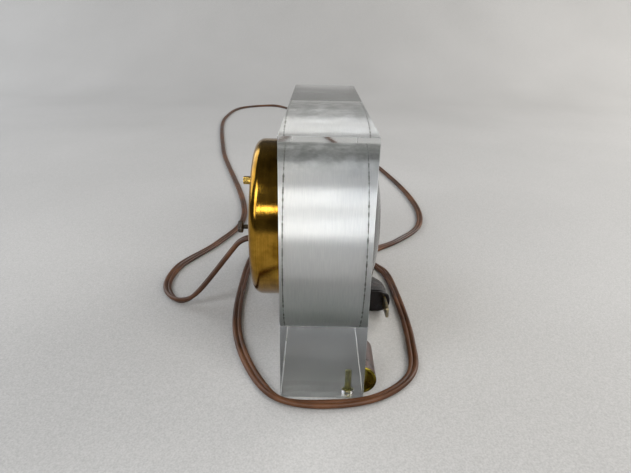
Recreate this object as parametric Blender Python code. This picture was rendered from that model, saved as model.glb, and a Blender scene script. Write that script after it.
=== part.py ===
"""Electric desk clock: a thick block of clear acrylic with a large round bore that holds the movement.

The dial looks towards -Y, +Z is up and the origin is the middle of the block's underside.
The bore is lined with a thin metal sleeve, a domed crystal closes its front and a shallow
brass can closes its back. The mains lead leaves the can and lies in loose loops round the clock.
"""

import math

import bmesh
import bpy
from mathutils import Vector

# Clearances
SEAT_GAP = 0.0003
FIT_GAP = 0.0001
BEARING_GAP = 0.00008
CUT_OVERRUN = 0.001

# Segments of round pieces
LARGE_ROUND = 48
SMALL_ROUND = 16

# Acrylic block
BLOCK_WIDTH = 0.15875
BLOCK_THICKNESS = 0.0381
BORE_OVER_CAN = 0.004727
UNDER_BORE = 0.010775
OVER_BORE = 0.014625

# Sleeve in the bore, with a shoulder that the movement seats on
SLEEVE_FRONT_WALL = 0.0010
SLEEVE_REAR_WALL = 0.0023
SLEEVE_SHOULDER_DEPTH = 0.00675

# Bezel ring and crystal
BEZEL_OVERLAP = 0.0012
BEZEL_PROUD = 0.0015
BEZEL_BEVEL = 0.0006
BEZEL_SKIRT_WALL = 0.0017
CRYSTAL_WALL = 0.0016
CRYSTAL_RIM_PROUD = 0.0040
CRYSTAL_RISE = 0.0080
CRYSTAL_ARC_STEPS = 5

# Dial and movement plates
DIAL_THICKNESS = 0.0008
DIAL_HOLE_CLEARANCE = 0.0004
PLATE_THICKNESS = 0.0015
BACK_PLATE_THICKNESS = 0.0012
BACK_PLATE_INSET = 0.0041
PILLAR_RADIUS = 0.0022
PILLAR_INSET = 0.0070
PILLAR_ANGLES = (math.radians(30), math.radians(150), math.radians(270))
PLATE_SCREW_HEAD_RADIUS = 0.0026
PLATE_SCREW_HEAD_HEIGHT = 0.0016

# Gear teeth, as shares of the module or of the angle between two teeth
TOOTH_TIP_SHARE = 0.80
TOOTH_ROOT_SHARE = 1.10
TOOTH_TIP_WIDTH_SHARE = 0.09
TOOTH_ROOT_WIDTH_SHARE = 0.23

# Gear train: the motor drives the second wheel, that drives the centre wheel through the
# intermediate arbor, and the motion wheel drives the hour wheel and meets the setting pinion
ROTOR_PINION_TEETH = 10
SECOND_WHEEL_TEETH = 40
SECOND_PINION_TEETH = 8
INTERMEDIATE_WHEEL_TEETH = 60
INTERMEDIATE_PINION_TEETH = 8
CENTRE_WHEEL_TEETH = 64
CANNON_PINION_TEETH = 12
MOTION_WHEEL_TEETH = 36
MOTION_PINION_TEETH = 10
HOUR_WHEEL_TEETH = 40
SETTING_PINION_TEETH = 12
ROTOR_CENTRES = 0.0150
INTERMEDIATE_CENTRES = 0.0144
MOTION_CENTRES = 0.0150
ROTOR_BEARING = math.radians(270)
INTERMEDIATE_BEARING = math.radians(45)
SETTING_CLEARANCE = 0.00168
WHEEL_THICKNESS = 0.0010
PINION_LENGTH = 0.0016
MOTION_PINION_LENGTH = 0.0025
FIRST_WHEEL_DEPTH = 0.0013
WHEEL_PITCH_DEPTH = 0.0023
CENTRE_WHEEL_DEPTH = 0.0071
INTERMEDIATE_WHEEL_DEPTH = 0.0106
SECOND_WHEEL_DEPTH = 0.0141
BACK_PLATE_CLEARANCE = 0.0035

# Arbors and pipes on the centre line
SECOND_ARBOR_RADIUS = 0.0006
PIPE_WALL = 0.0006
INTERMEDIATE_ARBOR_RADIUS = 0.0008
MOTION_STUD_RADIUS = 0.0010
MOTION_HUB_WALL = 0.0006
HUB_PROUD = 0.0002
ROTOR_SPINDLE_RADIUS = 0.0010
SETTING_SHAFT_RADIUS = 0.0012
PIVOT_LENGTH = 0.0009
CLUTCH_COLLAR_RADIUS = 0.0028
CLUTCH_COLLAR_LENGTH = 0.0010
CLUTCH_SPRING_RADIUS = 0.0048
CLUTCH_SPRING_THICKNESS = 0.0003

# Hands
HOUR_HAND_LENGTH = 0.0240
MINUTE_HAND_LENGTH = 0.0345
SECOND_HAND_LENGTH = 0.0365
SECOND_HAND_TAIL = 0.0100
HOUR_HAND_WIDTH = 0.0030
MINUTE_HAND_WIDTH = 0.0024
SECOND_HAND_WIDTH = 0.0009
HAND_THICKNESS = 0.0005
HAND_SPACING = 0.0016
HAND_LIFT = 0.0015
HAND_HUB_WALL = 0.0014
PIPE_END = 0.0004
HAND_WAIST_SHARE = 0.62
HAND_TIP_SHARE = 0.18
REST_HOUR = 10
REST_MINUTE = 9
REST_SECOND = 35

# Motor behind the back plate
CORE_LIMB = 0.0075
POLE_WALL = 0.0032
CORE_THICKNESS = 0.0080
CORE_STANDOFF = 0.0088
WINDOW_BOTTOM = 0.0030
WINDOW_TOP = 0.0140
WINDOW_CLEARANCE = 0.0033
COIL_LIMB = 0.0100
CAPSULE_RADIUS = 0.0095
CAPSULE_LENGTH = 0.0195
CAPSULE_LIP = 0.0012
BOBBIN_HALF_LENGTH = 0.0150
BOBBIN_FLANGE = 0.0015
BOBBIN_WALL = 0.0010
BOBBIN_DEPTH = 0.0037
WINDING_RECESS = 0.0006
COIL_LEAD_RADIUS = 0.0006
COIL_LEAD_SPACING = 0.0030
COIL_LEAD_BOW = 0.0025
COIL_LEAD_STEPS = 6
POST_RADIUS = 0.0025
POST_DROP = 0.0120

# Rear can, its studs and nuts
CAN_SIDE_CLEARANCE = 0.0025
CAN_BACK_CLEARANCE = 0.00725
CAN_EDGE_RADIUS = 0.0050
CAN_WALL = 0.0008
CAN_FLANGE_OVERLAP = 0.0018
CAN_EDGE_STEPS = 4
STUD_INSET = 0.0028
STUD_RADIUS = 0.0013
STUD_PROUD = 0.0034
STUD_ANGLES = (math.radians(128.7), math.radians(8.7), math.radians(300))
NUT_RADIUS = 0.0021
NUT_HEIGHT = 0.0032

# Setting knob on the back
KNOB_RADIUS = 0.0032
KNOB_THICKNESS = 0.0026
KNOB_STANDOFF = 0.0056
KNOB_BEVEL = 0.0007
KNOB_SOCKET = 0.0016

# Bushing where the lead leaves the can
BUSHING_X = 0.0020
BUSHING_Z = 0.0440
BUSHING_NECK_RADIUS = 0.0037
BUSHING_FLANGE_RADIUS = 0.0052
BUSHING_FLANGE = 0.0015
BUSHING_NOSE_RADIUS = 0.0040
BUSHING_NOSE = 0.0006

# Feet at the front corners, and the screws in the block's underside
FOOT_RADIUS = 0.0073
FOOT_PROUD = 0.0057
FOOT_LENGTH = 0.0230
FOOT_INSET = 0.0034
FOOT_ARC_STEPS = 14
FOOT_CAP_THICKNESS = 0.0010
FOOT_CAP_RIM = 0.0012
FOOT_CAP_RECESS = 0.0005
FOOT_SCREW_INSET = 0.0076
FOOT_SCREW_SETBACK = 0.0070
FOOT_SCREW_RADIUS = 0.00135
FOOT_SCREW_LENGTH = 0.0115
FOOT_SCREW_HEAD_RADIUS = 0.0026
FOOT_SCREW_HEAD_HEIGHT = 0.0012
FOOT_SCREW_RECESS = 0.0004
SLOT_WIDTH = 0.0007
SLOT_DEPTH = 0.0006

# Lead: two conductors side by side, drawn as one round tube of the same section
LEAD_WIDTH = 0.0052
LEAD_THICKNESS = 0.0026
LEAD_RADIUS = math.sqrt(LEAD_WIDTH * LEAD_THICKNESS) / 2
FLOOR_GAP = 0.0001
LEAD_POINTS = 76
LEAD_SAMPLES_PER_SPAN = 24
LEAD_TURN_LENGTH = 0.0300

# Plug, lying on its broad side in front of the block: the lead's end rests lower than the face
PLUG_HALF_WIDTH = 0.0099
PLUG_HALF_HEIGHT = 0.0068
PLUG_X = -0.0044
PLUG_Y = -0.0307
PLUG_LENGTH = 0.0360
PLUG_FLANGE = 0.0025
PLUG_TILT = math.radians(6)
PLUG_SIDES = 20
PLUG_ROUNDING = 2.6
BLADE_LENGTH = 0.0159
BLADE_WIDTH = 0.00635
BLADE_THICKNESS = 0.0015
BLADE_SPACING = 0.0127

# Flange sections: shares of its thickness, then of the plug's half sizes
PLUG_FLANGE_SHARES = (
    (0.00, 0.96, 0.95),
    (0.25, 1.00, 1.00),
    (1.00, 1.00, 1.00),
)

# Grip sections behind the flange: shares of the length left, then of the plug's half sizes
PLUG_GRIP_SHARES = (
    (0.00, 0.93, 0.92),
    (0.36, 0.93, 0.80),
    (0.57, 0.88, 0.68),
    (0.73, 0.74, 0.56),
    (0.87, 0.50, 0.46),
    (0.96, 0.36, 0.40),
    (1.00, 0.31, 0.36),
)

# The lead's route over the floor: x, y and the height of its underside, chosen by hand
LEAD_ROUTE = (
    (0.0020, 0.0398, 0.0421),
    (0.0020, 0.0412, 0.0421),
    (0.0020, 0.0441, 0.0417),
    (0.0019, 0.0484, 0.0392),
    (0.0018, 0.0525, 0.0342),
    (0.0003, 0.0735, 0.0076),
    (-0.0003, 0.0805, 0.0020),
    (0.0009, 0.0860, 0.0003),
    (0.0056, 0.0914, 0.0000),
    (0.0200, 0.0985, 0.0000),
    (0.0470, 0.0982, 0.0000),
    (0.0900, 0.0785, 0.0000),
    (0.1400, 0.0665, 0.0000),
    (0.3900, 0.1275, 0.0000),
    (0.6300, 0.1640, 0.0000),
    (0.7350, 0.1460, 0.0000),
    (0.7600, 0.0880, 0.0000),
    (0.5800, 0.0060, 0.0000),
    (0.2150, -0.0870, 0.0000),
    (0.1337, -0.0832, 0.0000),
    (0.0990, -0.0600, 0.0000),
    (0.0790, -0.0388, 0.0000),
    (0.0650, -0.0347, 0.0000),
    (0.0440, -0.0436, 0.0000),
    (0.0200, -0.0467, 0.0000),
    (-0.0345, -0.0480, 0.0000),
    (-0.0640, -0.0432, 0.0000),
    (-0.0805, -0.0250, 0.0000),
    (-0.0853, -0.0010, 0.0000),
    (-0.0832, 0.0188, 0.0000),
    (-0.0710, 0.0296, 0.0000),
    (-0.0345, 0.0450, 0.0000),
    (0.0167, 0.0505, 0.0000),
    (0.0850, 0.0450, 0.0000),
    (0.1170, 0.0200, 0.0000),
    (0.1020, -0.0130, 0.0000),
    (0.0790, -0.0275, 0.0000),
    (0.0600, -0.0284, 0.0003),
    (0.0338, -0.0307, 0.0013),
    (0.0324, -0.0307, 0.0014),
)


def metal(name, colour, roughness):
    """A Principled metal."""
    return finish(name, colour, roughness, 1.0)


def finish(name, colour, roughness, metallic=0.0, clear=0.0):
    """A Principled material, used again if it was made before."""
    material = bpy.data.materials.get(name)
    if material:
        return material
    material = bpy.data.materials.new(name)
    material.use_nodes = True
    shader = material.node_tree.nodes["Principled BSDF"]
    shader.inputs["Base Color"].default_value = (*colour, 1.0)
    shader.inputs["Roughness"].default_value = roughness
    shader.inputs["Metallic"].default_value = metallic
    shader.inputs["Transmission Weight"].default_value = clear
    material.diffuse_color = (*colour, 1.0)
    return material


def clear_acrylic():
    return finish("clear_acrylic", (0.86, 0.90, 0.88), 0.03, clear=0.9)


def clear_crystal():
    return finish("clear_crystal", (0.80, 0.84, 0.81), 0.05, clear=0.9)


def satin_aluminium():
    return metal("satin_aluminium", (0.80, 0.81, 0.82), 0.35)


def aged_brass():
    return metal("aged_brass", (0.52, 0.36, 0.09), 0.25)


def bright_brass():
    return metal("bright_brass", (0.74, 0.56, 0.22), 0.30)


def grey_steel():
    return metal("grey_steel", (0.46, 0.46, 0.45), 0.35)


def dark_steel():
    return metal("dark_steel", (0.16, 0.16, 0.17), 0.50)


def copper():
    return metal("copper", (0.60, 0.30, 0.16), 0.35)


def cream_enamel():
    return finish("cream_enamel", (0.84, 0.79, 0.66), 0.50)


def black_enamel():
    return finish("black_enamel", (0.03, 0.03, 0.03), 0.40)


def red_enamel():
    return finish("red_enamel", (0.50, 0.05, 0.03), 0.40)


def brown_plastic():
    return finish("brown_plastic", (0.17, 0.09, 0.06), 0.40)


def dark_plastic():
    return finish("dark_plastic", (0.045, 0.03, 0.028), 0.35)


def tan_board():
    return finish("tan_board", (0.45, 0.33, 0.20), 0.70)


def black_rubber():
    return finish("black_rubber", (0.04, 0.035, 0.03), 0.75)


def add_object(name, mesh, material, parent=None):
    """Links a new object, shaded smooth but for its sharp edges."""
    mesh.materials.append(material)
    mesh.shade_smooth()
    mesh.set_sharp_from_angle(angle=math.radians(35))
    made = bpy.data.objects.new(name, mesh)
    bpy.context.scene.collection.objects.link(made)
    made.parent = parent
    return made


def axis_empty(name, x, y, z):
    """An empty on an axis that pieces are built round."""
    empty = bpy.data.objects.new(name, None)
    empty.location = (x, y, z)
    empty.empty_display_size = SEAT_GAP
    bpy.context.scene.collection.objects.link(empty)
    return empty


def mesh_from(bm, name):
    """Ends a bmesh as a mesh whose faces point out."""
    bmesh.ops.remove_doubles(bm, verts=bm.verts, dist=FIT_GAP / 100)
    bmesh.ops.recalc_face_normals(bm, faces=bm.faces)
    mesh = bpy.data.meshes.new(name)
    bm.to_mesh(mesh)
    bm.free()
    return mesh


def turned(name, profile, material, parent, segments=SMALL_ROUND, ring=False):
    """A piece turned about its own Y axis from (radius, y) points: a ring's profile is closed."""
    bm = bmesh.new()
    verts = [bm.verts.new((radius, y, 0)) for radius, y in profile]
    ends = verts[1:] + verts[:1] if ring else verts[1:]
    edges = [bm.edges.new(pair) for pair in zip(verts, ends)]
    bmesh.ops.spin(
        bm, geom=verts + edges, cent=(0, 0, 0), axis=(0, 1, 0), angle=math.tau, steps=segments, use_merge=True
    )
    return add_object(name, mesh_from(bm, name), material, parent)


def rod(name, radius, front, back, material, parent):
    """A plain round rod along Y."""
    return turned(name, [(0, front), (radius, front), (radius, back), (0, back)], material, parent)


def tube(name, inner, outer, front, back, material, parent):
    """A plain pipe along Y."""
    profile = [(inner, front), (outer, front), (outer, back), (inner, back)]
    return turned(name, profile, material, parent, ring=True)


def circle(radius, centre=(0, 0), segments=SMALL_ROUND):
    """Points of a round outline in X and Z."""
    steps = [math.tau * i / segments for i in range(segments)]
    return [(centre[0] + radius * math.cos(a), centre[1] + radius * math.sin(a)) for a in steps]


def polar(radius, angle):
    return radius * math.cos(angle), radius * math.sin(angle)


def plate(name, outline, holes, front, back, material, parent):
    """A flat piece across Y, from an outline and holes in X and Z."""
    bm = bmesh.new()
    edges = []
    for loop in (outline, *holes):
        verts = [bm.verts.new((x, front, z)) for x, z in loop]
        edges += [bm.edges.new(pair) for pair in zip(verts, verts[1:] + verts[:1])]
    bmesh.ops.triangle_fill(bm, use_beauty=True, use_dissolve=False, edges=edges)
    grown = bmesh.ops.extrude_face_region(bm, geom=bm.faces[:])["geom"]
    moved = [item for item in grown if isinstance(item, bmesh.types.BMVert)]
    bmesh.ops.translate(bm, verts=moved, vec=(0, back - front, 0))
    return add_object(name, mesh_from(bm, name), material, parent)


def lofted(name, rings, material, parent=None, closed=False):
    """A skin over rings of points: its ends are capped, or the last ring meets the first."""
    bm = bmesh.new()
    rows = [[bm.verts.new(point) for point in ring] for ring in rings]
    pairs = zip(rows, rows[1:] + rows[:1]) if closed else zip(rows, rows[1:])
    for row, after in pairs:
        for i in range(len(row)):
            j = (i + 1) % len(row)
            bm.faces.new((row[i], row[j], after[j], after[i]))
    if not closed:
        bm.faces.new(rows[0])
        bm.faces.new(rows[-1])
    return add_object(name, mesh_from(bm, name), material, parent)


def box(name, low, high, material, parent=None):
    """A box between two corners."""
    rings = [
        [(x, low[1], low[2]), (x, high[1], low[2]), (x, high[1], high[2]), (x, low[1], high[2])]
        for x in (low[0], high[0])
    ]
    return lofted(name, rings, material, parent)


def combine(target, other, operation):
    """Joins another object to the target, or cuts it away, and hides it."""
    modifier = target.modifiers.new(other.name, "BOOLEAN")
    modifier.operation = operation
    modifier.object = other
    other.hide_render = True
    other.display_type = "WIRE"


def gear_outline(teeth, centres, mate_teeth, phase):
    """The outline of a gear with a tooth at the phase angle. Its module follows from its mate."""
    module = 2 * centres / (teeth + mate_teeth)
    pitch = teeth * module / 2
    tip = pitch + module * TOOTH_TIP_SHARE
    root = pitch - module * TOOTH_ROOT_SHARE
    step = math.tau / teeth
    points = []
    for i in range(teeth):
        middle = phase + step * i
        points.append(polar(root, middle - step * TOOTH_ROOT_WIDTH_SHARE))
        points.append(polar(tip, middle - step * TOOTH_TIP_WIDTH_SHARE))
        points.append(polar(tip, middle + step * TOOTH_TIP_WIDTH_SHARE))
        points.append(polar(root, middle + step * TOOTH_ROOT_WIDTH_SHARE))
    return points


def meshed_phase(mate_teeth, mate_phase, bearing, teeth):
    """The phase that puts a gap of this gear over a tooth of its mate. Bearing is from mate to gear."""
    mate_offset = (bearing - mate_phase) / (math.tau / mate_teeth)
    step = math.tau / teeth
    return bearing + math.pi - step * (0.5 - mate_offset)


# Depths along Y that several pieces share
BLOCK_FRONT = -BLOCK_THICKNESS / 2
BLOCK_BACK = BLOCK_THICKNESS / 2
SLEEVE_SHOULDER = BLOCK_FRONT + SLEEVE_SHOULDER_DEPTH
FRONT_PLATE_BACK = SLEEVE_SHOULDER - SEAT_GAP
FRONT_PLATE_FRONT = FRONT_PLATE_BACK - PLATE_THICKNESS
DIAL_BACK = FRONT_PLATE_FRONT - SEAT_GAP
DIAL_FRONT = DIAL_BACK - DIAL_THICKNESS
SECOND_WHEEL_FRONT = FRONT_PLATE_BACK + SECOND_WHEEL_DEPTH
BACK_PLATE_FRONT = SECOND_WHEEL_FRONT + WHEEL_THICKNESS + BACK_PLATE_CLEARANCE
BACK_PLATE_BACK = BACK_PLATE_FRONT + BACK_PLATE_THICKNESS
CORE_FRONT = BACK_PLATE_BACK + CORE_STANDOFF
CORE_BACK = CORE_FRONT + CORE_THICKNESS
COIL_BACK = CORE_BACK + SEAT_GAP + BOBBIN_WALL + BOBBIN_DEPTH
CAN_BACK = COIL_BACK + CAN_BACK_CLEARANCE + CAN_WALL
CAPSULE_FRONT = BACK_PLATE_BACK + SEAT_GAP

# The setting shaft stands clear of the centre wheel, the core's window clears the shaft,
# and the can clears the core's corners
CENTRE_WHEEL_MODULE = 2 * INTERMEDIATE_CENTRES / (CENTRE_WHEEL_TEETH + INTERMEDIATE_PINION_TEETH)
CENTRE_WHEEL_RADIUS = CENTRE_WHEEL_MODULE * (CENTRE_WHEEL_TEETH / 2 + TOOTH_TIP_SHARE)
SETTING_OFFSET = CENTRE_WHEEL_RADIUS + SETTING_CLEARANCE + SETTING_SHAFT_RADIUS
WINDOW_HALF_WIDTH = SETTING_OFFSET + SETTING_SHAFT_RADIUS + WINDOW_CLEARANCE
CORE_HALF_WIDTH = WINDOW_HALF_WIDTH + CORE_LIMB
CORE_TOP = WINDOW_TOP + COIL_LIMB
CORE_BOTTOM = ROTOR_CENTRES + CAPSULE_RADIUS + SEAT_GAP + POLE_WALL
CAN_RADIUS = math.hypot(CORE_HALF_WIDTH, CORE_BOTTOM) + CAN_SIDE_CLEARANCE + CAN_WALL

# The bore is a little wider than the can, with a wall of the block under and over it
BORE_RADIUS = CAN_RADIUS + BORE_OVER_CAN
MOVEMENT_HEIGHT = UNDER_BORE + BORE_RADIUS
BLOCK_HEIGHT = MOVEMENT_HEIGHT + BORE_RADIUS + OVER_BORE

# Radii of the sleeve and the plates
SLEEVE_RADIUS = BORE_RADIUS - SEAT_GAP
SLEEVE_FRONT_BORE = SLEEVE_RADIUS - SLEEVE_FRONT_WALL
PLATE_RADIUS = SLEEVE_FRONT_BORE - SEAT_GAP
BACK_PLATE_RADIUS = CAN_RADIUS - CAN_WALL - BACK_PLATE_INSET

# Places in X and Z, from the movement's centre
INTERMEDIATE_PLACE = polar(INTERMEDIATE_CENTRES, INTERMEDIATE_BEARING)
ROTOR_PLACE = polar(ROTOR_CENTRES, ROTOR_BEARING)
SETTING_PLACE = (-SETTING_OFFSET, 0)
MOTION_BEARING = math.pi + math.acos(SETTING_OFFSET / 2 / MOTION_CENTRES)
MOTION_PLACE = polar(MOTION_CENTRES, MOTION_BEARING)
SETTING_BEARING = math.tau - MOTION_BEARING

# Radii of the pipes on the centre line, each running on the one inside it
MINUTE_PIPE_BORE = SECOND_ARBOR_RADIUS + BEARING_GAP
MINUTE_PIPE_RADIUS = MINUTE_PIPE_BORE + PIPE_WALL
HOUR_PIPE_BORE = MINUTE_PIPE_RADIUS + BEARING_GAP
HOUR_PIPE_RADIUS = HOUR_PIPE_BORE + PIPE_WALL

# Planes of the wheels, as the depth of each one's front
HOUR_WHEEL_FRONT = FRONT_PLATE_BACK + FIRST_WHEEL_DEPTH
MOTION_WHEEL_FRONT = HOUR_WHEEL_FRONT + WHEEL_PITCH_DEPTH
CENTRE_WHEEL_FRONT = FRONT_PLATE_BACK + CENTRE_WHEEL_DEPTH
INTERMEDIATE_WHEEL_FRONT = FRONT_PLATE_BACK + INTERMEDIATE_WHEEL_DEPTH

# Depths of the hands' fronts
HOUR_HAND_BACK = DIAL_FRONT - HAND_LIFT
MINUTE_HAND_BACK = HOUR_HAND_BACK - HAND_SPACING
SECOND_HAND_BACK = MINUTE_HAND_BACK - HAND_SPACING


def make_block():
    """The clear block with its bore, and a stepped hole at each front corner of its underside."""
    low = (-BLOCK_WIDTH / 2, BLOCK_FRONT, 0)
    high = (BLOCK_WIDTH / 2, BLOCK_BACK, BLOCK_HEIGHT)
    block = box("acrylic_block", low, high, clear_acrylic())
    cutter = turned(
        "bore_cutter",
        [
            (0, BLOCK_FRONT - CUT_OVERRUN),
            (BORE_RADIUS, BLOCK_FRONT - CUT_OVERRUN),
            (BORE_RADIUS, BLOCK_BACK + CUT_OVERRUN),
            (0, BLOCK_BACK + CUT_OVERRUN),
        ],
        clear_acrylic(),
        None,
        LARGE_ROUND,
    )
    cutter.location.z = MOVEMENT_HEIGHT
    combine(block, cutter, "DIFFERENCE")
    hole = FOOT_SCREW_RADIUS + SEAT_GAP
    recess = FOOT_SCREW_HEAD_RADIUS + SEAT_GAP
    recess_depth = FOOT_SCREW_RECESS + FOOT_SCREW_HEAD_HEIGHT + SEAT_GAP
    depth = FOOT_SCREW_RECESS + FOOT_SCREW_LENGTH + SEAT_GAP
    for side, name in ((-1, "near"), (1, "far")):
        drill = turned(
            f"screw_hole_cutter_{name}",
            [
                (0, -CUT_OVERRUN),
                (recess, -CUT_OVERRUN),
                (recess, recess_depth),
                (hole, recess_depth),
                (hole, depth),
                (0, depth),
            ],
            clear_acrylic(),
            None,
        )
        drill.rotation_euler.x = math.pi / 2
        drill.location = foot_screw_place(side)
        combine(block, drill, "DIFFERENCE")


def foot_screw_place(side):
    """The point on the underside where a foot screw goes up into the block."""
    return Vector((side * (BLOCK_WIDTH / 2 - FOOT_SCREW_INSET), BLOCK_FRONT + FOOT_SCREW_SETBACK, 0))


def foot_outline(inset=0):
    """(y, z) points of a foot's half-round section, drawn in from its edge by the inset."""
    chord = BLOCK_FRONT - SEAT_GAP
    centre_y = chord + FOOT_RADIUS - FOOT_PROUD
    radius = FOOT_RADIUS - inset
    half_angle = math.acos((FOOT_RADIUS - FOOT_PROUD + inset) / radius)
    angles = [half_angle * (2 * i / FOOT_ARC_STEPS - 1) for i in range(FOOT_ARC_STEPS + 1)]
    return [(centre_y - radius * math.cos(a), FOOT_RADIUS + radius * math.sin(a)) for a in angles]


def make_feet():
    """Half-round feet against the block's front, their brass end caps, and the screws beside them."""
    outline = foot_outline()
    recess = foot_outline(FOOT_CAP_RIM)
    for side, name in ((-1, "near"), (1, "far")):
        outer_end = side * (BLOCK_WIDTH / 2 - FOOT_INSET)
        cap_end = outer_end - side * FOOT_CAP_THICKNESS
        body_start = cap_end - side * SEAT_GAP
        body_end = body_start - side * FOOT_LENGTH
        ends = [[(x, y, z) for y, z in outline] for x in (body_start, body_end)]
        lofted(f"foot_{name}", ends, brown_plastic())
        floor = outer_end - side * FOOT_CAP_RECESS
        steps = ((cap_end, outline), (outer_end, outline), (outer_end, recess), (floor, recess))
        rings = [[(x, y, z) for y, z in points] for x, points in steps]
        lofted(f"foot_cap_{name}", rings, aged_brass())
        make_foot_screw(name, side)


def make_foot_screw(name, side):
    """A slotted screw, head down, in its hole in the underside."""
    head_top = FOOT_SCREW_RECESS + FOOT_SCREW_HEAD_HEIGHT
    tip = FOOT_SCREW_RECESS + FOOT_SCREW_LENGTH
    profile = [
        (0, FOOT_SCREW_RECESS),
        (FOOT_SCREW_HEAD_RADIUS, FOOT_SCREW_RECESS),
        (FOOT_SCREW_HEAD_RADIUS, head_top),
        (FOOT_SCREW_RADIUS, head_top),
        (FOOT_SCREW_RADIUS, tip - FOOT_SCREW_RADIUS / 2),
        (FOOT_SCREW_RADIUS / 2, tip),
        (0, tip),
    ]
    screw = turned(f"foot_screw_{name}", profile, bright_brass(), None)
    slot = box(
        f"foot_slot_cutter_{name}",
        (-FOOT_SCREW_HEAD_RADIUS - CUT_OVERRUN, 0, -SLOT_WIDTH / 2),
        (FOOT_SCREW_HEAD_RADIUS + CUT_OVERRUN, FOOT_SCREW_RECESS + SLOT_DEPTH, SLOT_WIDTH / 2),
        bright_brass(),
        screw,
    )
    screw.rotation_euler.x = math.pi / 2
    screw.location = foot_screw_place(side)
    combine(screw, slot, "DIFFERENCE")


def make_case(centre):
    """The sleeve, the bezel, the crystal and the dial, all round the movement's centre."""
    rear_bore = SLEEVE_RADIUS - SLEEVE_REAR_WALL
    turned(
        "bore_sleeve",
        [
            (SLEEVE_RADIUS, BLOCK_FRONT),
            (SLEEVE_RADIUS, BLOCK_BACK),
            (rear_bore, BLOCK_BACK),
            (rear_bore, SLEEVE_SHOULDER),
            (SLEEVE_FRONT_BORE, SLEEVE_SHOULDER),
            (SLEEVE_FRONT_BORE, BLOCK_FRONT),
        ],
        satin_aluminium(),
        centre,
        LARGE_ROUND,
        ring=True,
    )
    skirt_radius = SLEEVE_FRONT_BORE - SEAT_GAP
    bezel_bore = skirt_radius - BEZEL_SKIRT_WALL
    bezel_radius = BORE_RADIUS + BEZEL_OVERLAP
    bezel_back = BLOCK_FRONT - SEAT_GAP
    bezel_front = BLOCK_FRONT - BEZEL_PROUD
    skirt_end = DIAL_FRONT - SEAT_GAP
    turned(
        "bezel_ring",
        [
            (bezel_bore, skirt_end),
            (skirt_radius, skirt_end),
            (skirt_radius, bezel_back),
            (bezel_radius, bezel_back),
            (bezel_radius, bezel_front + BEZEL_BEVEL),
            (bezel_radius - BEZEL_BEVEL, bezel_front),
            (bezel_bore, bezel_front),
        ],
        aged_brass(),
        centre,
        LARGE_ROUND,
        ring=True,
    )
    crystal_radius = bezel_bore - SEAT_GAP
    shoulder = BLOCK_FRONT - CRYSTAL_RIM_PROUD
    outer = dome_points(crystal_radius, shoulder, CRYSTAL_RISE)
    inner = dome_points(crystal_radius - CRYSTAL_WALL, shoulder, CRYSTAL_RISE - CRYSTAL_WALL)
    inner_end = (crystal_radius - CRYSTAL_WALL, skirt_end)
    profile = [(crystal_radius, skirt_end), *outer, *reversed(inner), inner_end]
    turned("crystal_dome", closed_dome(profile), clear_crystal(), centre, LARGE_ROUND, ring=True)
    dial_hole = HOUR_PIPE_RADIUS + DIAL_HOLE_CLEARANCE
    plate(
        "dial_plate",
        circle(PLATE_RADIUS, segments=LARGE_ROUND),
        [circle(dial_hole)],
        DIAL_FRONT,
        DIAL_BACK,
        cream_enamel(),
        centre,
    )


def dome_points(radius, base, rise):
    """(radius, y) points of a shallow dome, from its rim to its top."""
    sphere = (radius**2 + rise**2) / (2 * rise)
    half_angle = math.asin(radius / sphere)
    angles = [half_angle * (1 - i / CRYSTAL_ARC_STEPS) for i in range(CRYSTAL_ARC_STEPS + 1)]
    return [(sphere * math.sin(a), base - sphere * (math.cos(a) - math.cos(half_angle))) for a in angles]


def closed_dome(profile):
    """Puts the dome's two top points exactly on the axis."""
    return [(0 if radius < FIT_GAP else radius, y) for radius, y in profile]


def make_plates(centre):
    """The two movement plates with their bearing holes, the pillars between them and the screws."""
    running = BEARING_GAP
    intermediate = circle(INTERMEDIATE_ARBOR_RADIUS + running, INTERMEDIATE_PLACE)
    setting = circle(SETTING_SHAFT_RADIUS + running, SETTING_PLACE)
    plate(
        "front_plate",
        circle(PLATE_RADIUS, segments=LARGE_ROUND),
        [circle(HOUR_PIPE_RADIUS + running), intermediate, setting],
        FRONT_PLATE_FRONT,
        FRONT_PLATE_BACK,
        bright_brass(),
        centre,
    )
    plate(
        "back_plate",
        circle(BACK_PLATE_RADIUS, segments=LARGE_ROUND),
        [
            circle(SECOND_ARBOR_RADIUS + running),
            intermediate,
            setting,
            circle(ROTOR_SPINDLE_RADIUS + running, ROTOR_PLACE),
        ],
        BACK_PLATE_FRONT,
        BACK_PLATE_BACK,
        bright_brass(),
        centre,
    )
    for number, angle in enumerate(PILLAR_ANGLES, 1):
        x, z = polar(BACK_PLATE_RADIUS - PILLAR_INSET, angle)
        pillar = rod(
            f"plate_pillar_{number}",
            PILLAR_RADIUS,
            FRONT_PLATE_BACK + SEAT_GAP,
            BACK_PLATE_FRONT - SEAT_GAP,
            bright_brass(),
            centre,
        )
        pillar.location = (x, 0, z)
        head_front = BACK_PLATE_BACK + SEAT_GAP
        head_back = head_front + PLATE_SCREW_HEAD_HEIGHT
        screw = rod(
            f"plate_screw_{number}", PLATE_SCREW_HEAD_RADIUS, head_front, head_back, grey_steel(), centre
        )
        screw.location = (x, 0, z)
        slot = box(
            f"plate_slot_cutter_{number}",
            (-PLATE_SCREW_HEAD_RADIUS - CUT_OVERRUN, head_back - SLOT_DEPTH, -SLOT_WIDTH / 2),
            (PLATE_SCREW_HEAD_RADIUS + CUT_OVERRUN, head_back + CUT_OVERRUN, SLOT_WIDTH / 2),
            grey_steel(),
            screw,
        )
        combine(screw, slot, "DIFFERENCE")


def wheel(name, outline, bore, front, length, material, parent):
    """A toothed piece with a round bore."""
    return plate(name, outline, [circle(bore)], front, front + length, material, parent)


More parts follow.
